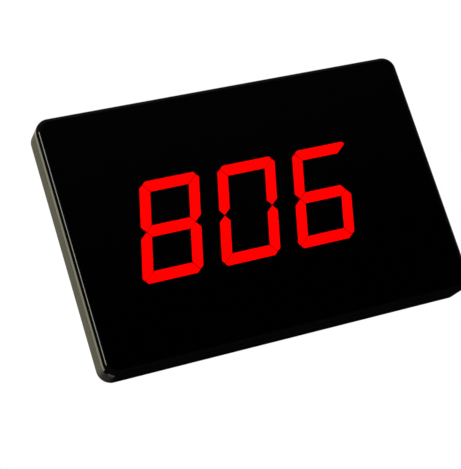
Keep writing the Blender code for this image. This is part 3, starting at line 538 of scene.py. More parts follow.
def lit_resin():
    """Red diffusing resin, lit from behind by dice spaced along each bar."""
    red = settings().colours.lit
    paint = Paint("lit_resin", (0.5, 0.004, 0.004), 0.45)
    glow = paint.noise(7, 1, 0.4).ramp(0.2, 0.8)
    cloud = paint.noise(0.8, 2, 0.6)
    paint.set("Emission Color", paint.mix(glow * 0.8 + cloud * 0.2, scaled(red, 0.86), red))
    paint.set("Emission Strength", 7.0)
    paint.material.cycles.emission_sampling = "NONE"
    paint.bump(cloud, 0.01, 0.4)
    return paint.material


def dark_resin():
    """The same resin with no light behind it."""
    base = settings().colours.dark
    paint = Paint("dark_resin", base, 0.5)
    cloud = paint.noise(0.8, 2, 0.6)
    colour = paint.mix(cloud, scaled(base, 0.6), base)
    return paint.finish(colour, 0.4 + cloud * 0.2, cloud, 0.01, 0.4)


def key_plastic():
    """Satin black key plastic, shinier where fingers rub it."""
    paint = Paint("key_plastic", (0.02, 0.019, 0.018), 0.4)
    grain = paint.noise(0.25, 3, 0.6)
    high = CAD_BOX[1].x / MM
    outermost = paint.axes(paint.place())[0].ramp(high - WORN_KEY, high)
    rubbed = outermost * paint.noise(2.5, 2, 0.5).ramp(0.3, 0.6)
    colour = paint.mix(grain, (0.014, 0.0135, 0.013), (0.028, 0.027, 0.026))
    return paint.finish(colour, 0.42 + grain * 0.1 - rubbed * 0.2, grain, 0.012, 0.6)


def plain_metal(name, base, roughness, brush=(1, 1, 1), stain=(0.5, 0.45, 0.38)):
    """Bare or plated metal with brush lines and a little staining."""
    paint = Paint(name, base, roughness, 1.0)
    lines = paint.noise(0.6, 3, 0.7, brush)
    spots = paint.noise(4, 4, 0.65).ramp(0.5, 0.8)
    stained = [share * channel for share, channel in zip(base, stain)]
    colour = paint.mix(spots * 0.35, base, stained)
    return paint.finish(colour, roughness - 0.06 + lines * 0.14 + spots * 0.12, lines, 0.006, 0.5)


def circuit_board():
    """Green solder mask over copper tracks, with bare tinned vias whose holes are painted shade."""
    base = settings().colours.mask
    paint = Paint("circuit_board", base, 0.3, coat_weight=0.4, coat_roughness=0.15)
    pattern = paint.place((0.11, 0.11, 0.11), turn=(math.radians(90), 0, 0))
    inputs = {"Vector": pattern, "Scale": 1, "Mortar Size": 0.06, "Brick Width": 0.9, "Row Height": 0.16}
    tracks = 1 - paint.add("ShaderNodeTexBrick", None, {**inputs, "Mortar Smooth": 0.1}, 1)
    pour = paint.noise(14, 1, 0.3).ramp(0.5, 0.52)
    copper = (1 - tracks).larger(pour)
    via = paint.cells(5.08, randomness=0.35)
    pad = 1 - via.ramp(0.09, 0.11)
    # Painted shade: the middle of each via is near black and not metal, standing in for a hole that isn't cut
    hole = 1 - via.ramp(0.04, 0.05)
    weave = paint.noise(0.7, 2, 0.5, (1, 1, 3))
    tone = paint.mix(copper, base, scaled(base, 1.9, 0.004))
    tone = paint.mix(weave * 0.25, tone, scaled(base, 0.6))
    tone = paint.mix(pad, tone, (0.62, 0.6, 0.55))
    paint.set("Metallic", pad * (1 - hole))
    colour = paint.mix(hole, tone, (0.01, 0.01, 0.01))
    roughness = 0.26 + weave * 0.1 + pad * 0.1
    return paint.finish(colour, roughness, copper * 0.5 + pad * 0.4 - hole, 0.04, 0.6)


def moulded_epoxy():
    """Black chip compound with a fine sandy surface."""
    paint = Paint("moulded_epoxy", (0.02, 0.02, 0.021), 0.55)
    grain = paint.noise(0.12, 3, 0.7)
    flow = paint.noise(3, 2, 0.5, twist=0.6)
    share = grain * 0.6 + flow * 0.3
    colour = paint.mix(share, (0.012, 0.012, 0.013), (0.035, 0.034, 0.034))
    return paint.finish(colour, 0.48 + grain * 0.18, grain, 0.01, 0.7)


def nylon():
    """Off-white connector nylon, a little uneven in colour."""
    paint = Paint("nylon", (0.72, 0.69, 0.62), 0.5)
    flow = paint.noise(2.5, 3, 0.5, twist=0.5)
    grain = paint.noise(0.2, 2, 0.6)
    colour = paint.mix(flow, (0.66, 0.62, 0.53), (0.76, 0.74, 0.69))
    return paint.finish(colour, 0.42 + grain * 0.16, grain, 0.008, 0.5)


def flat_cable():
    """Grey flat cable: rounded wires side by side, the first one marked red, with painted shade between the wires
    and a painted highlight along each.
    """
    paint = Paint("flat_cable", (0.42, 0.42, 0.43), 0.45)
    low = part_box("ribbon_cable")[0].z / MM
    z = paint.axes(paint.place())[2]
    ridge_and_shade = ((z - low) * (math.tau / WIRE_PITCH)).wave().power(0.6)
    marked = 1 - (z - low).ramp(MARKED_WIRE, WIRE_PITCH)
    # Painted shade and highlight: the wave that raises each wire by bump also makes its crest lighter and the
    # grooves between wires darker
    tone = paint.mix(ridge_and_shade, (0.2, 0.2, 0.21), (0.5, 0.5, 0.51))
    colour = paint.mix(marked, tone, (0.5, 0.02, 0.02))
    return paint.finish(colour, 0.4 + paint.noise(0.5, 2, 0.5) * 0.15, ridge_and_shade, 0.12, 0.8)


def pressed_paper():
    """Black paper pulp with fibres and rings round the middle of the cone."""
    paint = Paint("pressed_paper", (0.03, 0.03, 0.03), 0.9)
    fibre = paint.noise(0.5, 4, 0.7, (1, 1, 4), 1.5)
    flat = paint.place((1, 0, 1), middle("speaker_cone"))
    reach = paint.add("ShaderNodeVectorMath", {"operation": "LENGTH"}, {0: flat}, 1)
    rings = (reach * CONE_RINGS).wave()
    colour = paint.mix(fibre, (0.018, 0.018, 0.018), (0.06, 0.058, 0.055))
    return paint.finish(colour, 0.82 + fibre * 0.12, rings * 0.7 + fibre * 0.4, 0.1, 0.7)


def insulation(name, base):
    """Soft wire insulation with talc dust on it."""
    paint = Paint(name, base, 0.45)
    dust = paint.noise(0.8, 3, 0.7).ramp(0.5, 0.8)
    colour = paint.mix(dust * 0.2, base, (0.6, 0.58, 0.55))
    return paint.finish(colour, 0.4 + dust * 0.25, paint.noise(1.5, 2, 0.5), 0.02, 0.4)


def floor_paint():
    """A plain pale floor that is seen from above only."""
    base = settings().stage.floor
    paint = Paint("pale_floor", base, 0.6)
    mottle = paint.noise(180, 3, 0.5)
    paint.set("Base Color", paint.mix(mottle, scaled(base, 0.985), base))
    paint.set("Roughness", 0.55 + mottle * 0.1)
    facing = paint.add("ShaderNodeNewGeometry", output="Backfacing")
    clear = paint.add("ShaderNodeBsdfTransparent")
    solid = Value(paint, paint.shader.outputs[0])
    shown = paint.add("ShaderNodeMixShader", None, {0: facing, 1: solid, 2: clear})
    paint.feed(paint.nodes["Material Output"].inputs["Surface"], shown)
    return paint.material


# Mesh tools


def box(bm, low, high):
    """Adds a box between two corners."""
    low, high = Vector(low), Vector(high)
    matrix = Matrix.LocRotScale((low + high) / 2, None, high - low)
    return bmesh.ops.create_cube(bm, size=1, matrix=matrix)["verts"]


def bevel(bm, edges, size, steps):
    """Rounds edges, or cuts them flat where there is one step."""
    if size and edges:
        bmesh.ops.bevel(
            bm, geom=edges, offset=size, affect="EDGES", segments=steps, profile=0.5, material=-1
        )


def edges_along(verts, axis):
    """Edges of these vertices that run along the axis with this index."""
    across = [other for other in range(3) if other != axis]
    edges = {edge for vert in verts for edge in vert.link_edges}
    return [
        edge
        for edge in edges
        if all(abs(edge.verts[0].co[other] - edge.verts[1].co[other]) < TOUCH for other in across)
    ]


def edges_at(bm, axis, level):
    """Edges whose two ends lie at this level of an axis."""
    return [edge for edge in bm.edges if all(abs(vert.co[axis] - level) < TOUCH for vert in edge.verts)]


def slab(bm, low, high, radius, steps=CORNER_STEPS, axis=1):
    """Adds a box with its edges along an axis rounded."""
    bevel(bm, edges_along(box(bm, low, high), axis), radius, steps)
    return bm


def rod(bm, start, end, radius, steps=ROUND_STEPS):
    """Adds a round bar between two points."""
    start, end = Vector(start), Vector(end)
    bmesh.ops.create_cone(
        bm,
        cap_ends=True,
        segments=steps,
        radius1=radius,
        radius2=radius,
        depth=(end - start).length,
        matrix=Matrix.LocRotScale((start + end) / 2, (end - start).to_track_quat("Z", "Y"), None),
    )


def post(bm, place, front, back, radius, steps=ROUND_STEPS):
    """Adds a round bar along Y at a place."""
    rod(bm, (place.x, front, place.z), (place.x, back, place.z), radius, steps)


def extrude(bm, points, way):
    """Adds a straight-sided shape from the corners of one end and the way to the other."""
    face = bm.faces.new([bm.verts.new(point) for point in points])
    made = bmesh.ops.extrude_face_region(bm, geom=[face])["geom"]
    moved = [item for item in made if isinstance(item, bmesh.types.BMVert)]
    bmesh.ops.translate(bm, vec=way, verts=moved)


def prism(bm, outline, front, back):
    """Adds a straight-sided shape along Y from an outline of (x, z) points."""
    extrude(bm, [(point.x, front, point.y) for point in outline], (0, back - front, 0))


def turned(profile, origin, direction, steps=ROUND_STEPS):
    """A new mesh turned from points of (radius, height), placed at an origin along a direction."""
    bm = bmesh.new()
    verts = [bm.verts.new((radius, 0, height)) for radius, height in profile]
    edges = [bm.edges.new(pair) for pair in zip(verts, verts[1:])]
    bmesh.ops.spin(
        bm,
        geom=verts + edges,
        axis=(0, 0, 1),
        cent=(0, 0, 0),
        angle=math.tau,
        steps=steps,
        use_merge=True,
    )
    bmesh.ops.remove_doubles(bm, verts=bm.verts, dist=TOUCH / 10)
    turn = Vector(direction).to_track_quat("Z", "Y")
    bmesh.ops.transform(bm, matrix=Matrix.LocRotScale(Vector(origin), turn, None), verts=bm.verts)
    return bm


def round_outline(x, z, radius, steps=ROUND_STEPS, start=0.0, sweep=math.tau):
    """Points of a circle, or of an arc of it, anticlockwise."""
    count = steps if sweep == math.tau else steps + 1
    angles = [start + sweep * index / steps for index in range(count)]
    return [Vector((x + radius * math.cos(angle), z + radius * math.sin(angle))) for angle in angles]


def upright_slot(x, low, high, width):
    """The outline of an upright slot with round ends."""
    half = width / 2
    top = round_outline(x, high - half, half, SLOT_STEPS, 0, math.pi)
    return top + round_outline(x, low + half, half, SLOT_STEPS, math.pi, math.pi)


def tapered(bm, outline, front, back, growth):
    """Adds a shape along Y that grows from an outline by a distance."""
    edges = []
    for level, points in ((front, outline), (back, grown(outline, growth))):
        face = bm.faces.new([bm.verts.new((point.x, level, point.y)) for point in points])
        edges += face.edges
    bmesh.ops.bridge_loops(bm, edges=edges)


def chamfered_hole(holes, mouths, outline, front, rear, chamfer):
    """Adds a straight cutter to the rear face, and to another mesh one for the chamfer of its mouth."""
    prism(holes, outline, front, rear + REACH)
    tapered(mouths, outline, rear - chamfer, rear + REACH, chamfer + REACH)


def add_object(name, data):
    """An object in the scene."""
    made = bpy.data.objects.new(name, data)
    bpy.context.scene.collection.objects.link(made)
    return made


def link(name, bm):
    """An object at the origin that holds a finished bmesh."""
    bmesh.ops.recalc_face_normals(bm, faces=bm.faces)
    mesh = bpy.data.meshes.new(name)
    bm.to_mesh(mesh)
    bm.free()
    return add_object(name, mesh)


CUT, JOIN = "DIFFERENCE", "UNION"


def carve(target, *steps):
    """Cuts shapes away from the target, or joins them to it, in this order."""
    helpers = []
    for operation, bm in steps:
        helper = link(f"{target.name}_helper_{len(helpers)}", bm)
        helper.hide_render = True
        modifier = target.modifiers.new(helper.name, "BOOLEAN")
        modifier.operation = operation
        modifier.solver = "EXACT"
        modifier.object = helper
        helpers.append(helper)
    shaped = bpy.data.meshes.new_from_object(target.evaluated_get(bpy.context.evaluated_depsgraph_get()))
    if not shaped.polygons:
        raise RuntimeError(f"{target.name}: nothing is left after cutting")
    target.modifiers.clear()
    target.data = shaped
    for helper in helpers:
        bpy.data.meshes.remove(helper.data)
    return target


def coat(piece, material):
    """Gives an object one finish."""
    piece.data.materials.clear()
    piece.data.materials.append(material)


def dress(piece, material, body, slot, *nodes):
    """Gives a piece its finish, its smooth shading and its place in the frame."""
    coat(piece, material)
    piece.data.shade_smooth()
    piece.data.set_sharp_from_angle(angle=SHARP_ANGLE)
    modifier = piece.modifiers.new("Even normals", "WEIGHTED_NORMAL")
    modifier.keep_sharp = True
    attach(piece, body)
    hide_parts(*nodes)


def middle(node):
    """The middle of a CAD node's box."""
    low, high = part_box(node)
    return (low + high) / 2


def numbered(stem):
    """The CAD nodes whose names are this stem and a number, in order."""
    names = [name for name in frame["nodes"] if name.rsplit("_", 1)[0] == stem]
    return sorted(names, key=lambda name: int(name.rsplit("_", 1)[1]))


def points_of(node):
    """The vertices of a CAD node."""
    return [vert.co for vert in frame["nodes"][node].data.vertices]


def corner_radius(node):
    """The radius of the rounded corners of a plate that faces along Y, read from its right edge."""
    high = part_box(node)[1]
    return high.z - max(point.z for point in points_of(node) if high.x - point.x < TOUCH)


def seam_level():
    """The rear edge of the front shell's left wall, where it meets the cover."""
    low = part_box("front_shell")[0]
    return max(point.y for point in points_of("front_shell") if point.x - low.x < TOUCH)


def opening(name):
    """The middle of an opening that the record states."""
    stated = {row["name"]: row["box_m"] for row in frame["record"]["physics"]["openings"]}
    low, high = (Vector(corner) for corner in stated[name])
    return (low + high) / 2


# Case


def case_slab(inset, front, back):
    """A slab with the outline of the case, moved in by an inset."""
    low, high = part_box("rear_cover")
    radius = corner_radius("front_shell") - inset
    start, end = (low.x + inset, front, low.z + inset), (high.x - inset, back, high.z - inset)
    return slab(bmesh.new(), start, end, radius)


def case_half(name, seam, face, fillet):
    """A solid half of the case, from the seam to a face with a fillet round it."""
    bm = case_slab(0, min(seam, face), max(seam, face))
    bevel(bm, edges_at(bm, 1, face), fillet, FILLET_STEPS)
    bevel(bm, edges_at(bm, 1, seam), settings().case.seam_bevel, SMALL_STEPS)
    return link(name, bm)


def board_screws():
    """The CAD nodes of the screws that hold the boards."""
    return numbered("main_board_screw") + numbered("control_board_screw")


class PAGER_OT_front_shell(bpy.types.Operator):
    """Build the gloss black front shell with its rim, face plate and screw bosses"""

    bl_idname = "pager.front_shell"
    bl_label = "Front shell"

    def execute(self, context):
        sizes, bores = settings().case, settings().holes
        shell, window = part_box("front_shell"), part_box("display_window")
        front, seam = shell[0].y, seam_level()
        rim = window[0].x - shell[0].x - sizes.fit
        plate_front = window[1].y + sizes.fit
        plate_back = plate_front + sizes.face_plate
        piece = case_half("front_shell_moulding", seam, front, sizes.front_fillet)

        seat = case_slab(rim, front - REACH, plate_front)
        lip_back = front + sizes.rim_bevel
        lip = case_slab(rim - sizes.rim_bevel, front - REACH, lip_back)
        bevel(lip, edges_at(lip, 1, lip_back), sizes.rim_bevel, 1)
        hollow = case_slab(sizes.wall, plate_back, seam + REACH)
        board_bosses_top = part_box("main_board")[0].y - sizes.fit
        bosses, holes = bmesh.new(), bmesh.new()
        for names, top, boss, hole in (
            (numbered("case_screw"), seam, sizes.boss_radius, bores.case_screw_hole),
            (board_screws(), board_bosses_top, sizes.small_boss_radius, bores.board_screw_hole),
        ):
            for name in names:
                post(bosses, middle(name), plate_back - REACH / 2, top, boss)
                post(holes, middle(name), plate_back, top + REACH, hole)
        low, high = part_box("digit_reflector")
        low = (low.x - sizes.fit, plate_front - REACH, low.z - sizes.fit)
        high = (high.x + sizes.fit, plate_back + REACH, high.z + sizes.fit)
        aperture = slab(bmesh.new(), low, high, APERTURE_CORNER)
        steps = [(CUT, seat), (CUT, lip), (CUT, hollow), (JOIN, bosses), (CUT, holes), (CUT, aperture)]
        carve(piece, *steps)
        dress(piece, gloss_black(), "case", "gloss_black", "front_shell")
        return {"FINISHED"}


class PAGER_OT_window(bpy.types.Operator):
    """Build the smoked window with its polished bevel"""

    bl_idname = "pager.window"
    bl_label = "Window"

    def execute(self, context):
        sizes = settings().case
        low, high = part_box("display_window")
        bm = slab(bmesh.new(), low, high, corner_radius("display_window"))
        bevel(bm, edges_at(bm, 1, low.y), sizes.window_bevel, 1)
        bevel(bm, edges_at(bm, 1, high.y), sizes.window_bevel / 2, 1)
        bm.normal_update()
        for face in bm.faces:
            face.material_index = 1 if abs(face.normal.y) < EDGE_FACING else 0
        piece = link("window_sheet", bm)
        dress(piece, smoked_window(), "case", "smoked_window", "display_window")
        piece.data.materials.append(edge_ink())
        return {"FINISHED"}


class PAGER_OT_rear_cover(bpy.types.Operator):
    """Build the satin rear cover with its keyholes, grille, screw wells and side holes"""

    bl_idname = "pager.rear_cover"
    bl_label = "Rear cover"

    def execute(self, context):
        sizes = settings().case
        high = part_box("rear_cover")[1]
        rear = high.y
        seam = seam_level() + sizes.fit
        wall_front = rear - sizes.wall
        piece = case_half("rear_cover_moulding", seam, rear, sizes.rear_fillet)

        tongue_inset = sizes.wall + sizes.fit
        tongue_front, band_back = seam - sizes.tongue_length, seam + sizes.tongue_length
        tongue = case_slab(tongue_inset, tongue_front, seam + REACH)
        band = case_slab(tongue_inset + sizes.tongue, tongue_front - REACH, band_back)
        room = case_slab(sizes.wall, band_back - TOUCH, wall_front)
        bosses, necks, wells, mouths = (bmesh.new() for _ in range(4))
        for name in numbered("case_screw"):
            place, (box_low, box_high) = middle(name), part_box(name)
            head = (box_high.x - box_low.x) / 2
            seat = box_high.y - HEAD_HEIGHT
            post(bosses, place, seam, wall_front + REACH / 2, sizes.boss_radius)
            post(necks, place, seam - REACH, seat, settings().holes.case_screw_hole)
            outline = round_outline(place.x, place.z, head + sizes.fit)
            chamfered_hole(wells, mouths, outline, seat - sizes.fit, rear, sizes.mouth)
        carve(
            piece,
            (JOIN, tongue),
            (CUT, band),
            (CUT, room),
            (JOIN, bosses),
            (CUT, necks),
            (CUT, wells),
            (CUT, mouths),
            *self.keyholes(wall_front - REACH, rear),
            *self.grille(wall_front - REACH, rear),
            (CUT, self.side_holes(high)),
        )
        dress(piece, satin_case(), "case", "case_black", "rear_cover")
        return {"FINISHED"}

    def keyholes(self, front, rear):
        """A round hole for a screw head with a slot for its neck above it, both chamfered."""
        sizes = settings().holes
        shapes = [bmesh.new() for _ in range(4)]
        for side in ("left", "right"):
            centre = opening(f"keyhole_{side}_head")
            top = centre.z + sizes.keyhole_rise + sizes.keyhole_neck / 2
            head = round_outline(centre.x, centre.z, sizes.keyhole_head)
            chamfered_hole(*shapes[:2], head, front, rear, settings().case.mouth)
            neck = upright_slot(centre.x, centre.z, top, sizes.keyhole_neck)
            chamfered_hole(*shapes[2:], neck, front, rear, settings().case.mouth)
        return [(CUT, shape) for shape in shapes]

    def grille(self, front, rear):
        """Upright slots with round ends that fill a circle over the loudspeaker."""
        sizes = settings().holes
        centre = middle("speaker_basket")
        low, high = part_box("speaker_basket")
        reach = (high.x - low.x) / 2 - sizes.grille_margin
        count = math.floor(reach / sizes.grille_pitch)
        slots, mouths = bmesh.new(), bmesh.new()
        for index in range(-count, count + 1):
            x = index * sizes.grille_pitch
            half = math.sqrt(reach**2 - x**2)
            outline = upright_slot(centre.x + x, centre.z - half, centre.z + half, sizes.grille_slot)
            chamfered_hole(slots, mouths, outline, front, rear, sizes.grille_chamfer)
        return [(CUT, slots), (CUT, mouths)]

    def side_holes(self, high):
        """Holes in the right wall for the keys, the switch knob and the power plug."""
        sizes = settings().holes
        bm = bmesh.new()
        inner, outer = high.x - settings().case.wall - SIDE_HOLE_DEPTH, high.x + REACH
        gap = Vector((0, sizes.key_gap, sizes.key_gap))
        for name in numbered("key_cap"):
            low, top = key_face(name)
            start, end = (inner, *(low - gap).yz), (outer, *(top + gap).yz)
            slab(bm, start, end, sizes.key_corner + sizes.key_gap, KEY_STEPS, 0)
        low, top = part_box("power_switch_knob")
        low = low - Vector((0, 0, joint_travel("power_switch_slide")))
        start, end = (inner, *(low - gap).yz), (outer, *(top + gap).yz)
        slab(bm, start, end, sizes.key_gap, SMALL_STEPS, 0)
        jack = middle("dc_jack")
        rod(bm, (inner, jack.y, jack.z), (outer, jack.y, jack.z), sizes.plug_hole)
        return bm


def span(points):
    """The box round some points."""
    return [Vector([pick(point[axis] for point in points) for axis in range(3)]) for pick in (min, max)]


def joint_travel(name):
    """How far a slide can move from rest."""
    return next(joint["range_m"][1] for joint in frame["joints"] if joint["name"] == name)


def key_face(node):
    """The box of a key cap where it passes the wall, read from its outermost points."""
    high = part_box(node)[1]
    return span([point for point in points_of(node) if point.x > high.x - KEY_FACE_DEPTH])


# Digits


def mirrored(outline, side, end):
    """The outline mirrored in X where side is -1 and in Z where end is -1, still anticlockwise."""
    points = [Vector((point.x * side, point.y * end)) for point in outline]
    return points if side * end > 0 else points[::-1]


def grown(outline, distance):
    """The convex anticlockwise outline with each side moved out by a distance."""
    corners = []
    for before, here, after in zip(outline[-1:] + outline, outline, outline[1:] + outline[:1]):
        first = (here - before).normalized()
        second = (after - here).normalized()
        outward = Vector((first.y + second.y, -first.x - second.x))
        corners.append(here + outward * distance / (1 + first.dot(second)))
    return corners


def bar_outlines(sizes):
    """The outline of each bar by name, with its middle at the digit's and before the slant."""
    half = (sizes.bar + sizes.gap) / 2
    right = (sizes.width - sizes.bar) / 2
    top = (sizes.height - sizes.bar) / 2
    cut = sizes.corner
    mitre = (right + half - cut / 2, top + half - cut / 2)
    across = [
        (half - right, top - half),
        (right - half, top - half),
        mitre,
        (right + half - cut, top + half),
        (cut - right - half, top + half),
        (-mitre[0], mitre[1]),
    ]
    upright = [
        (right, 0),
        (right + half, half),
        (right + half, top + half - cut),
        mitre,
        (right - half, top - half),
        (right - half, half),
    ]
    centre = [
        (-right, 0),
        (half - right, -half),
        (right - half, -half),
        (right, 0),
        (right - half, half),
        (half - right, half),
    ]
    across, upright, centre = ([Vector(corner) for corner in cell] for cell in (across, upright, centre))
    cells = [across, mirrored(across, 1, -1), centre]
    cells += [mirrored(upright, side, end) for side in (-1, 1) for end in (1, -1)]
    return {name: grown(cell, -sizes.gap / 2) for name, cell in zip(DIGIT_BARS, cells)}


class PAGER_OT_digits(bpy.types.Operator):
    """Build the bars of the three digits, lit or dark for the figures shown"""

    bl_idname = "pager.digits"
    bl_label = "Digits"

    def execute(self, context):
        lit, dark = lit_resin(), dark_resin()
        for number, off in SHOWN_FIGURES.items():
            node = f"digit_{number}_light_guide"
            low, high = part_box(node)
            groups = {"lit": [bar for bar in DIGIT_BARS if bar not in off], "dark": off}
            for group, bars in groups.items():
                if bars:
                    piece = self.bars(f"digit_{number}_{group}_bars", bars, middle(node), low.y, high.y)
                    dress(piece, lit if group == "lit" else dark, "case", "segment_red", node)
                    piece.visible_diffuse = piece.visible_glossy = False
            plate = self.plate(f"digit_{number}_plate", low, high)
            dress(plate, dark, "case", "segment_red", node)
        coat(frame["nodes"]["digit_reflector"], matte_black())
        return {"FINISHED"}

    def bars(self, name, bars, centre, front, back):
        sizes = settings().digits
        bm = bmesh.new()
        outlines = bar_outlines(sizes)
        for bar in bars:
            outline = [(point.x + sizes.slant * point.y, point.y) for point in outlines[bar]]
            placed = [Vector(corner) + centre.xz for corner in outline]
            prism(bm, placed, front, back - sizes.plate - GUIDE_CLEARANCE)
        bevel(bm, edges_at(bm, 1, front), sizes.bevel, FINE_STEPS)
        return link(name, bm)

    def plate(self, name, low, high):
        sizes = settings().digits
        bm = bmesh.new()
        shift = sizes.slant * (high.z - low.z) / 2
        corners = [low.xz, (high.x - 2 * shift, low.z), high.xz, (low.x + 2 * shift, high.z)]
        prism(bm, [Vector(corner) for corner in corners], high.y - sizes.plate, high.y)
        bevel(bm, edges_at(bm, 1, high.y), GUIDE_PLATE_BEVEL, FINE_STEPS)
        return link(name, bm)


# Keys, switch, socket and screws


class PAGER_OT_keys(bpy.types.Operator):
    """Build the four key caps with dished faces, each with its flange and stem"""

    bl_idname = "pager.keys"
    bl_label = "Keys"

    def execute(self, context):
        plastic = key_plastic()
        for number, node in enumerate(numbered("key_cap"), 1):
            piece = self.cap(node)
            dress(piece, plastic, f"key_{number}", "key_black", node)
        return {"FINISHED"}

    def cap(self, node):
        sizes = settings().holes
        low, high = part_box(node)
        face_low, face_high = key_face(node)
        flange_high = high.x - KEY_PROUD - settings().case.wall - settings().case.fit
        flange_low = flange_high - KEY_FLANGE
        start = (flange_high - OVERLAP, *face_low.yz)
        cap = slab(bmesh.new(), start, face_high, sizes.key_corner, KEY_STEPS, 0)
        bevel(cap, edges_at(cap, 0, face_high.x), KEY_ROUND, SOFT_STEPS)
        outermost = [face for face in cap.faces if face.calc_center_median().x > face_high.x - TOUCH]
        top = [face for face in outermost if face.normal.x > FLAT_FACING]
        for depth in (0, -KEY_DISH):
            bmesh.ops.inset_region(cap, faces=top, thickness=KEY_ROUND / 2, depth=depth)
        start, end = (flange_low, *low.yz), (flange_high, *high.yz)
        flange = slab(bmesh.new(), start, end, sizes.key_gap, SMALL_STEPS, 0)
        centre, half = (low + high) / 2, Vector((0, KEY_STEM / 2, KEY_STEM / 2))
        start, end = (low.x, *(centre - half).yz), (flange_low + OVERLAP, *(centre + half).yz)
        stem = slab(bmesh.new(), start, end, sizes.key_gap, SMALL_STEPS, 0)
        return carve(link(f"{node}_moulding", cap), (JOIN, flange), (JOIN, stem))


class PAGER_OT_switch_knob(bpy.types.Operator):
    """Build the ridged knob of the power switch"""

    bl_idname = "pager.switch_knob"
    bl_label = "Switch knob"

    def execute(self, context):
        low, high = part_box("power_switch_knob")
        points = points_of("power_switch_knob")
        neck = min(point.x for point in points if high.z - point.z < TOUCH)
        body = slab(bmesh.new(), (neck, *low.yz), high, KNOB_CORNER, SOFT_STEPS, 0)
        bevel(body, edges_at(body, 0, high.x), KNOB_ROUND, SOFT_STEPS)
        blade = bmesh.new()
        first, last = span([point for point in points if point.x < low.x + TOUCH])
        box(blade, (low.x, *first.yz), (neck + OVERLAP, *last.yz))
        grooves = bmesh.new()
        for index in KNOB_GROOVES:
            z = (low.z + high.z) / 2 + index * KNOB_GROOVE_PITCH
            start, end = (high.x, low.y - REACH, z), (high.x, high.y + REACH, z)
            rod(grooves, start, end, KNOB_GROOVE, GROOVE_STEPS)
        piece = carve(link("power_switch_slider", body), (JOIN, blade), (CUT, grooves))
        dress(piece, key_plastic(), "power_switch_knob", "key_black", "power_switch_knob")
        return {"FINISHED"}


class PAGER_OT_power_socket(bpy.types.Operator):
    """Build the power socket with its nylon body, spring sleeve and centre pin"""

    bl_idname = "pager.power_socket"
    bl_label = "Power socket"

    def execute(self, context):
        low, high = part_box("dc_jack")
        along = Vector((1, 0, 0))
        origin = (high.x - SOCKET_DEPTH, *((low + high) / 2).yz)
        body = slab(bmesh.new(), low, high, SOCKET_ROUND, SOFT_STEPS, 0)
        bevel(body, edges_at(body, 0, high.x), SOCKET_ROUND / 2, FINE_STEPS)
        flare, past = SOCKET_BORE + 2 * SOCKET_ROUND, SOCKET_DEPTH + SOCKET_ROUND
        profile = [(0, 0), (SOCKET_BORE, 0), (SOCKET_BORE, SOCKET_DEPTH - SOCKET_ROUND)]
        profile += [(flare, past), (0, past)]
        bore = turned(profile, origin, along)
        piece = carve(link("power_socket_body", body), (CUT, bore))
        dress(piece, moulded_epoxy(), "case", "jack_black", "dc_jack")

        metal = plain_metal("nickel_contact", (0.62, 0.6, 0.56), 0.22)
        inner, outer = SOCKET_BORE - SOCKET_SLEEVE, SOCKET_BORE - SOCKET_GAP
        rim, tip = SOCKET_DEPTH - SLEEVE_SHORT, SOCKET_DEPTH - PIN_SHORT
        sleeve = [(inner, SOCKET_GAP), (outer, SOCKET_GAP), (outer, rim)]
        sleeve += [(inner + SOCKET_SLEEVE / 2, rim), (inner, rim - SLEEVE_LEAD_IN), (inner, SOCKET_GAP)]
        pin = [(0, SOCKET_GAP), (SOCKET_PIN, SOCKET_GAP)]
        for angle in ARC_ANGLES[:-1]:
            pin.append((SOCKET_PIN * math.cos(angle), tip - SOCKET_PIN * (1 - math.sin(angle))))
        pin.append((0, tip))
        for name, profile in (("sleeve", sleeve), ("pin", pin)):
            made = link(f"power_socket_{name}", turned(profile, origin, along))
            dress(made, metal, "case", "steel", "dc_jack")
        return {"FINISHED"}


class PAGER_OT_screws(bpy.types.Operator):
    """Build the pan head screws with their cross recesses and threads"""

    bl_idname = "pager.screws"
    bl_label = "Screws"

    def execute(self, context):
        zinc = plain_metal("zinc_plate", (0.56, 0.56, 0.58), 0.34)
        for node in numbered("case_screw") + board_screws():
            low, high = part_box(node)
            dress(self.screw(node, low, high), zinc, "case", "steel", node)
        return {"FINISHED"}

    def screw(self, node, low, high):
        head = (high.x - low.x) / 2
        shank = head * SHANK_SHARE
        seat = high.y - HEAD_HEIGHT
        length = seat - low.y
        root = shank * ROOT_SHARE
        profile = [(0, 0), (shank * TIP_SHARE, 0), (root, THREAD_PITCH)]
        turns = int((length - 2 * THREAD_PITCH) / THREAD_PITCH)
        for turn in range(1, turns + 1):
            profile.append((root, (turn + THREAD_RISE_SHARE) * THREAD_PITCH))
            profile.append((shank, (turn + THREAD_CREST_SHARE) * THREAD_PITCH))
        profile += [(root, length - THREAD_PITCH), (root, length), (head - HEAD_EDGE, length)]
        profile += [(head, length + HEAD_EDGE), (head, length + HEAD_HEIGHT * HEAD_WALL_SHARE)]
        rise = HEAD_HEIGHT * (1 - HEAD_WALL_SHARE)
        for angle in ARC_ANGLES[1:]:
            reach = head * (CROWN_FLAT_SHARE + (1 - CROWN_FLAT_SHARE) * math.cos(angle))
            profile.append((reach, length + HEAD_HEIGHT - rise * (1 - math.sin(angle))))
        profile.append((0, length + HEAD_HEIGHT))
        centre = (low + high) / 2
        bm = turned(profile, (centre.x, low.y, centre.z), (0, 1, 0), SCREW_STEPS)
        cutters = []
        arm, half = head * RECESS_REACH_SHARE, head * RECESS_HALF_SHARE
        for x, z in ((arm, half), (half, arm)):
            cutter = bmesh.new()
            outline = [Vector(corner) + centre.xz for corner in ((-x, -z), (x, -z), (x, z), (-x, z))]
            flare = HEAD_EDGE * RECESS_FLARE_SHARE
            tapered(cutter, outline, high.y - RECESS_DEPTH, high.y + HEAD_EDGE, flare)
            cutters.append((CUT, cutter))
        return carve(link(f"{node}_turned", bm), *cutters)


# Parts on the boards


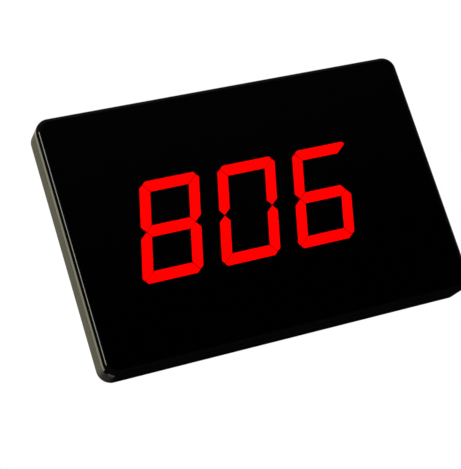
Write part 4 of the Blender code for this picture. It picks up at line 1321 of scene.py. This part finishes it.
class PAGER_OT_chips(bpy.types.Operator):
    """Build the chips with drafted bodies, a dimple at the first pin and bent leads"""

    bl_idname = "pager.chips"
    bl_label = "Chips"

    def execute(self, context):
        epoxy = moulded_epoxy()
        tin = plain_metal("tinned_leads", (0.66, 0.65, 0.62), 0.28, (3, 1, 3))
        for node, (pitch, sides) in LEAD_LAYOUTS.items():
            low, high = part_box(node)
            dress(self.body(node, low, high), epoxy, "case", "chip_black", node)
            dress(self.leads(node, low, high, pitch, sides), tin, "case", "steel", node)
        return {"FINISHED"}

    def body(self, node, low, high):
        """Two halves that taper away from the plane of the leads."""
        bm = bmesh.new()
        box(bm, low, high)
        centre = (low + high) / 2
        geometry = [*bm.verts, *bm.edges, *bm.faces]
        bmesh.ops.bisect_plane(bm, geom=geometry, dist=TOUCH, plane_co=centre, plane_no=(0, 1, 0))
        for vert in bm.verts:
            if abs(vert.co.y - centre.y) > TOUCH:
                vert.co.x -= math.copysign(CHIP_DRAFT, vert.co.x - centre.x)
                vert.co.z -= math.copysign(CHIP_DRAFT, vert.co.z - centre.z)
        dimple = bmesh.new()
        place = Vector((low.x + CHIP_DIMPLE_INSET, 0, high.z - CHIP_DIMPLE_INSET))
        post(dimple, place, high.y - CHIP_DIMPLE_DEPTH, high.y + REACH, CHIP_DIMPLE, DIMPLE_STEPS)
        return carve(link(f"{node}_body", bm), (CUT, dimple))

    def leads(self, node, low, high, pitch, sides):
        centre, half = (low + high) / 2, (high - low) / 2
        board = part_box("main_board")[1].y
        bm = bmesh.new()
        for out in sides:
            across = Vector((abs(out[1]), 0, abs(out[0])))
            away = Vector((out[0], 0, out[1]))
            width = half.dot(across) - CHIP_END_MARGIN
            count = 2 * width // pitch
            for index in range(int(count) + 1):
                place = centre + away * abs(half.dot(away)) + across * (index - count / 2) * pitch
                self.lead(bm, place, away, across, board)
        return link(f"{node}_leads", bm)

    def lead(self, bm, place, away, across, board):
        """One lead that leaves the body, bends down and ends in a foot on the board."""
        half = LEAD_THICKNESS / 2
        foot = board + half + BOARD_GAP
        line = [(-LEAD_ROOT, place.y), (LEAD_SHOULDER, place.y), (LEAD_KNEE, foot), (LEAD_REACH, foot)]
        upper = [(reach + half, level + half) for reach, level in line]
        lower = [(reach - half, level - half) for reach, level in reversed(line)]
        corners = [place - across * LEAD_WIDTH / 2 + away * reach for reach, level in upper + lower]
        for corner, (reach, level) in zip(corners, upper + lower):
            corner.y = level
        extrude(bm, corners, across * LEAD_WIDTH)


class PAGER_OT_capacitors(bpy.types.Operator):
    """Build the can capacitors with a rolled groove, a scored vent and a moulded base"""

    bl_idname = "pager.capacitors"
    bl_label = "Capacitors"

    def execute(self, context):
        aluminium = plain_metal("drawn_aluminium", (0.78, 0.78, 0.8), 0.3, (1, 0.2, 1))
        for node in numbered("capacitor"):
            low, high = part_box(node)
            radius, height = (high.x - low.x) / 2, high.y - low.y
            groove, step = CAP_BASE + CAP_GROOVE * 2, CAP_GROOVE / 2
            waist, side, top = radius - CAP_GROOVE, radius - CAP_SIDE, height - CAP_VENT
            profile = [(0, CAP_BASE), (waist, CAP_BASE), (radius - step, groove - step), (waist, groove)]
            profile += [(side, groove + CAP_GROOVE), (side, height - CAP_GROOVE), (waist, height)]
            profile += [(waist - CAP_GROOVE, height), (radius - CAP_SHOULDER, top), (0, top)]
            foot = Vector(((low.x + high.x) / 2, low.y, (low.z + high.z) / 2))
            crown = foot + Vector((0, top, 0))
            scores = []
            for arm in (Vector((1, 0, 0)), Vector((0, 0, 1))):
                score, reach = bmesh.new(), arm * radius * CAP_SCORE_SHARE
                rod(score, crown - reach, crown + reach, CAP_VENT / 2, SLOT_STEPS)
                scores.append((CUT, score))
            piece = carve(link(f"{node}_can", turned(profile, foot, (0, 1, 0))), *scores)
            dress(piece, aluminium, "case", "aluminium_can", node)
            base = bmesh.new()
            corner = Vector((radius, 0, radius))
            rise = Vector((0, CAP_BASE - BOARD_GAP, 0))
            verts = box(base, foot - corner, foot + corner + rise)
            upright = [edge for edge in edges_along(verts, 1) if edge.verts[0].co.x > foot.x]
            bevel(base, upright, radius * CAP_BASE_CUT_SHARE, 1)
            dress(link(f"{node}_base", base), moulded_epoxy(), "case", "chip_black", node)
        return {"FINISHED"}


class PAGER_OT_connectors(bpy.types.Operator):
    """Build the connector housings with their contact pockets"""

    bl_idname = "pager.connectors"
    bl_label = "Connectors"

    def execute(self, context):
        white = nylon()
        for node, pitch, rows in CONNECTOR_LAYOUTS:
            low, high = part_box(node)
            housing = slab(bmesh.new(), low, high, CONNECTOR_ROUND, SMALL_STEPS)
            bevel(housing, edges_at(housing, 1, high.y), CONNECTOR_ROUND / 2, FINE_STEPS)
            pockets = bmesh.new()
            along = 2 if high.z - low.z > high.x - low.x else 0
            across = 2 - along
            count = int((high[along] - low[along] - 2 * CONNECTOR_ROUND - pitch / 2) // pitch)
            for index in range(count + 1):
                for row in rows:
                    centre = (low + high) / 2
                    centre[along] += (index - count / 2) * pitch
                    centre[across] += row * (high[across] - low[across])
                    half = Vector((pitch, 0, pitch)) * POCKET_HALF_SHARE
                    bottom = Vector((centre.x, high.y - CONNECTOR_POCKET, centre.z)) - half
                    box(pockets, bottom, Vector((centre.x, high.y + REACH, centre.z)) + half)
            piece = carve(link(f"{node}_housing", housing), (CUT, pockets))
            dress(piece, white, "case", "connector_white", node)
        return {"FINISHED"}


# Finishes of the carried-over CAD nodes


class PAGER_OT_inner_finishes(bpy.types.Operator):
    """Give the boards, fasteners and other inner parts their finishes"""

    bl_idname = "pager.inner_finishes"
    bl_label = "Inner finishes"

    def execute(self, context):
        tin = plain_metal("tin_plate", (0.62, 0.61, 0.58), 0.3, (6, 1, 0.3))
        finishes = {
            "steel": plain_metal("bright_steel", (0.52, 0.52, 0.53), 0.38),
            "aluminium_can": plain_metal("drawn_can", (0.78, 0.78, 0.8), 0.32, (1, 0.2, 1)),
            "copper": plain_metal("copper_wire", (0.86, 0.42, 0.25), 0.25),
            "board_green": circuit_board(),
            "chip_black": moulded_epoxy(),
            "connector_white": nylon(),
            "paper_cone": pressed_paper(),
            "lead_red": insulation("red_insulation", (0.5, 0.02, 0.02)),
            "lead_black": insulation("black_insulation", (0.02, 0.02, 0.02)),
        }
        special = {"rf_shield_can": tin, "crystal": tin, "ribbon_cable": flat_cable()}
        for row in frame["record"]["subparts"]:
            material = special.get(row["node"], finishes.get(row["material_slot"]))
            if material:
                coat(frame["nodes"][row["node"]], material)
        return {"FINISHED"}


# Stage


def sky():
    """White where the camera looks, and a dim room with a brighter ceiling for everything else."""
    world = bpy.data.worlds.new("studio")
    bpy.context.scene.world = world
    graph = Graph(world)
    rise = graph.axes(graph.add("ShaderNodeTexCoord", output="Generated"))[2]
    levels = {"Value": rise, "From Min": SKY_RISE_START, "To Min": SKY_LOW, "To Max": SKY_HIGH}
    brightness = graph.add("ShaderNodeMapRange", None, levels)
    for ray, level in (("Is Diffuse Ray", SKY_DIFFUSE), ("Is Camera Ray", SKY_CAMERA)):
        share = graph.add("ShaderNodeLightPath", output=ray)
        brightness = graph.add("ShaderNodeMix", None, {"Factor": share, "A": brightness, "B": level})
    background = graph.nodes["Background"].inputs
    graph.feed(background["Color"], (1, 1, 1, 1))
    graph.feed(background["Strength"], brightness)


def heading(azimuth, elevation):
    """The direction to something round the display, from angles in radians."""
    level = math.cos(elevation)
    return Vector((math.sin(azimuth) * level, -math.cos(azimuth) * level, math.sin(elevation)))


def aim(made, place, turn):
    """Puts an object at a place with a turn."""
    made.location = place
    made.rotation_mode = "QUATERNION"
    made.rotation_quaternion = turn


def panel_light(name, azimuth, elevation, distance, width, height, brightness, tint):
    """A soft panel that faces the display from a direction given in degrees."""
    away = heading(math.radians(azimuth), math.radians(elevation))
    data = bpy.data.lights.new(name, "AREA")
    data.shape = "RECTANGLE"
    data.size, data.size_y = width, height
    data.energy = brightness * math.pi * width * height
    data.color = tint
    made = add_object(name, data)
    aim(made, away * distance, away.to_track_quat("Z", "Y"))
    made.visible_camera = made.visible_transmission = False
    return made


class PAGER_OT_stage(bpy.types.Operator):
    """Add the floor, the soft lights and the camera"""

    bl_idname = "pager.stage"
    bl_label = "Stage"

    def execute(self, context):
        context.scene.view_settings.view_transform = "Standard"
        sky()
        panels = {name: panel_light(name, *values) for name, values in PANELS.items()}
        panels["ceiling_panel"].visible_glossy = False
        self.floor()
        self.camera(context)
        return {"FINISHED"}

    def floor(self):
        bm = bmesh.new()
        level = CAD_BOX[0].z - FLOOR_GAP
        bmesh.ops.create_circle(bm, cap_ends=True, segments=FLOOR_STEPS, radius=FLOOR_RADIUS)
        bmesh.ops.translate(bm, vec=(0, 0, level), verts=bm.verts)
        floor = link("floor", bm)
        if floor.data.polygons[0].normal.z < 0:
            floor.data.flip_normals()
        coat(floor, floor_paint())
        floor.visible_glossy = floor.visible_transmission = floor.visible_shadow = False

    def camera(self, context):
        stage = settings().stage
        back = heading(stage.azimuth, stage.elevation)
        target = Vector((stage.aim_x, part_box("front_shell")[0].y, stage.aim_z))
        data = bpy.data.cameras.new("camera")
        data.lens = stage.lens
        data.sensor_width = SENSOR_WIDTH
        camera = add_object("camera", data)
        level = (-back).to_track_quat("-Z", "Y")
        aim(camera, target + back * stage.distance, level @ Quaternion((0, 0, 1), stage.roll))
        context.scene.camera = camera


STEPS = (
    PAGER_OT_front_shell,
    PAGER_OT_window,
    PAGER_OT_rear_cover,
    PAGER_OT_digits,
    PAGER_OT_keys,
    PAGER_OT_switch_knob,
    PAGER_OT_power_socket,
    PAGER_OT_screws,
    PAGER_OT_chips,
    PAGER_OT_capacitors,
    PAGER_OT_connectors,
    PAGER_OT_inner_finishes,
    PAGER_OT_stage,
)


class PAGER_PT_sidebar(bpy.types.Panel):
    """Lists the steps that build the display and the sizes that they use"""

    bl_idname = "PAGER_PT_sidebar"
    bl_label = "Call pager display"
    bl_space_type = "VIEW_3D"
    bl_region_type = "UI"
    bl_category = "Pager"

    def draw(self, context):
        for step in STEPS:
            self.layout.operator(step.bl_idname)
        chosen = settings()
        for group in (chosen.case, chosen.holes, chosen.digits, chosen.colours, chosen.stage):
            box_layout = self.layout.box()
            for name in group.bl_rna.properties.keys():
                if name not in ("rna_type", "name"):
                    box_layout.prop(group, name)


CLASSES = (
    PagerCaseSizes,
    PagerHoleSizes,
    PagerDigitSizes,
    PagerColours,
    PagerStage,
    PagerSettings,
    *STEPS,
    PAGER_PT_sidebar,
)


def register():
    for cls in CLASSES:
        bpy.utils.register_class(cls)
    bpy.types.Scene.pager_display = PointerProperty(type=PagerSettings)


def unregister():
    del bpy.types.Scene.pager_display
    for cls in reversed(CLASSES):
        bpy.utils.unregister_class(cls)


def main():
    register()
    for step in STEPS:
        group, name = step.bl_idname.split(".")
        result = getattr(getattr(bpy.ops, group), name)()
        if result != {"FINISHED"}:
            raise RuntimeError(f"{step.bl_idname} didn't finish")
    bpy.context.view_layer.update()


if __name__ == "__main__":
    main()
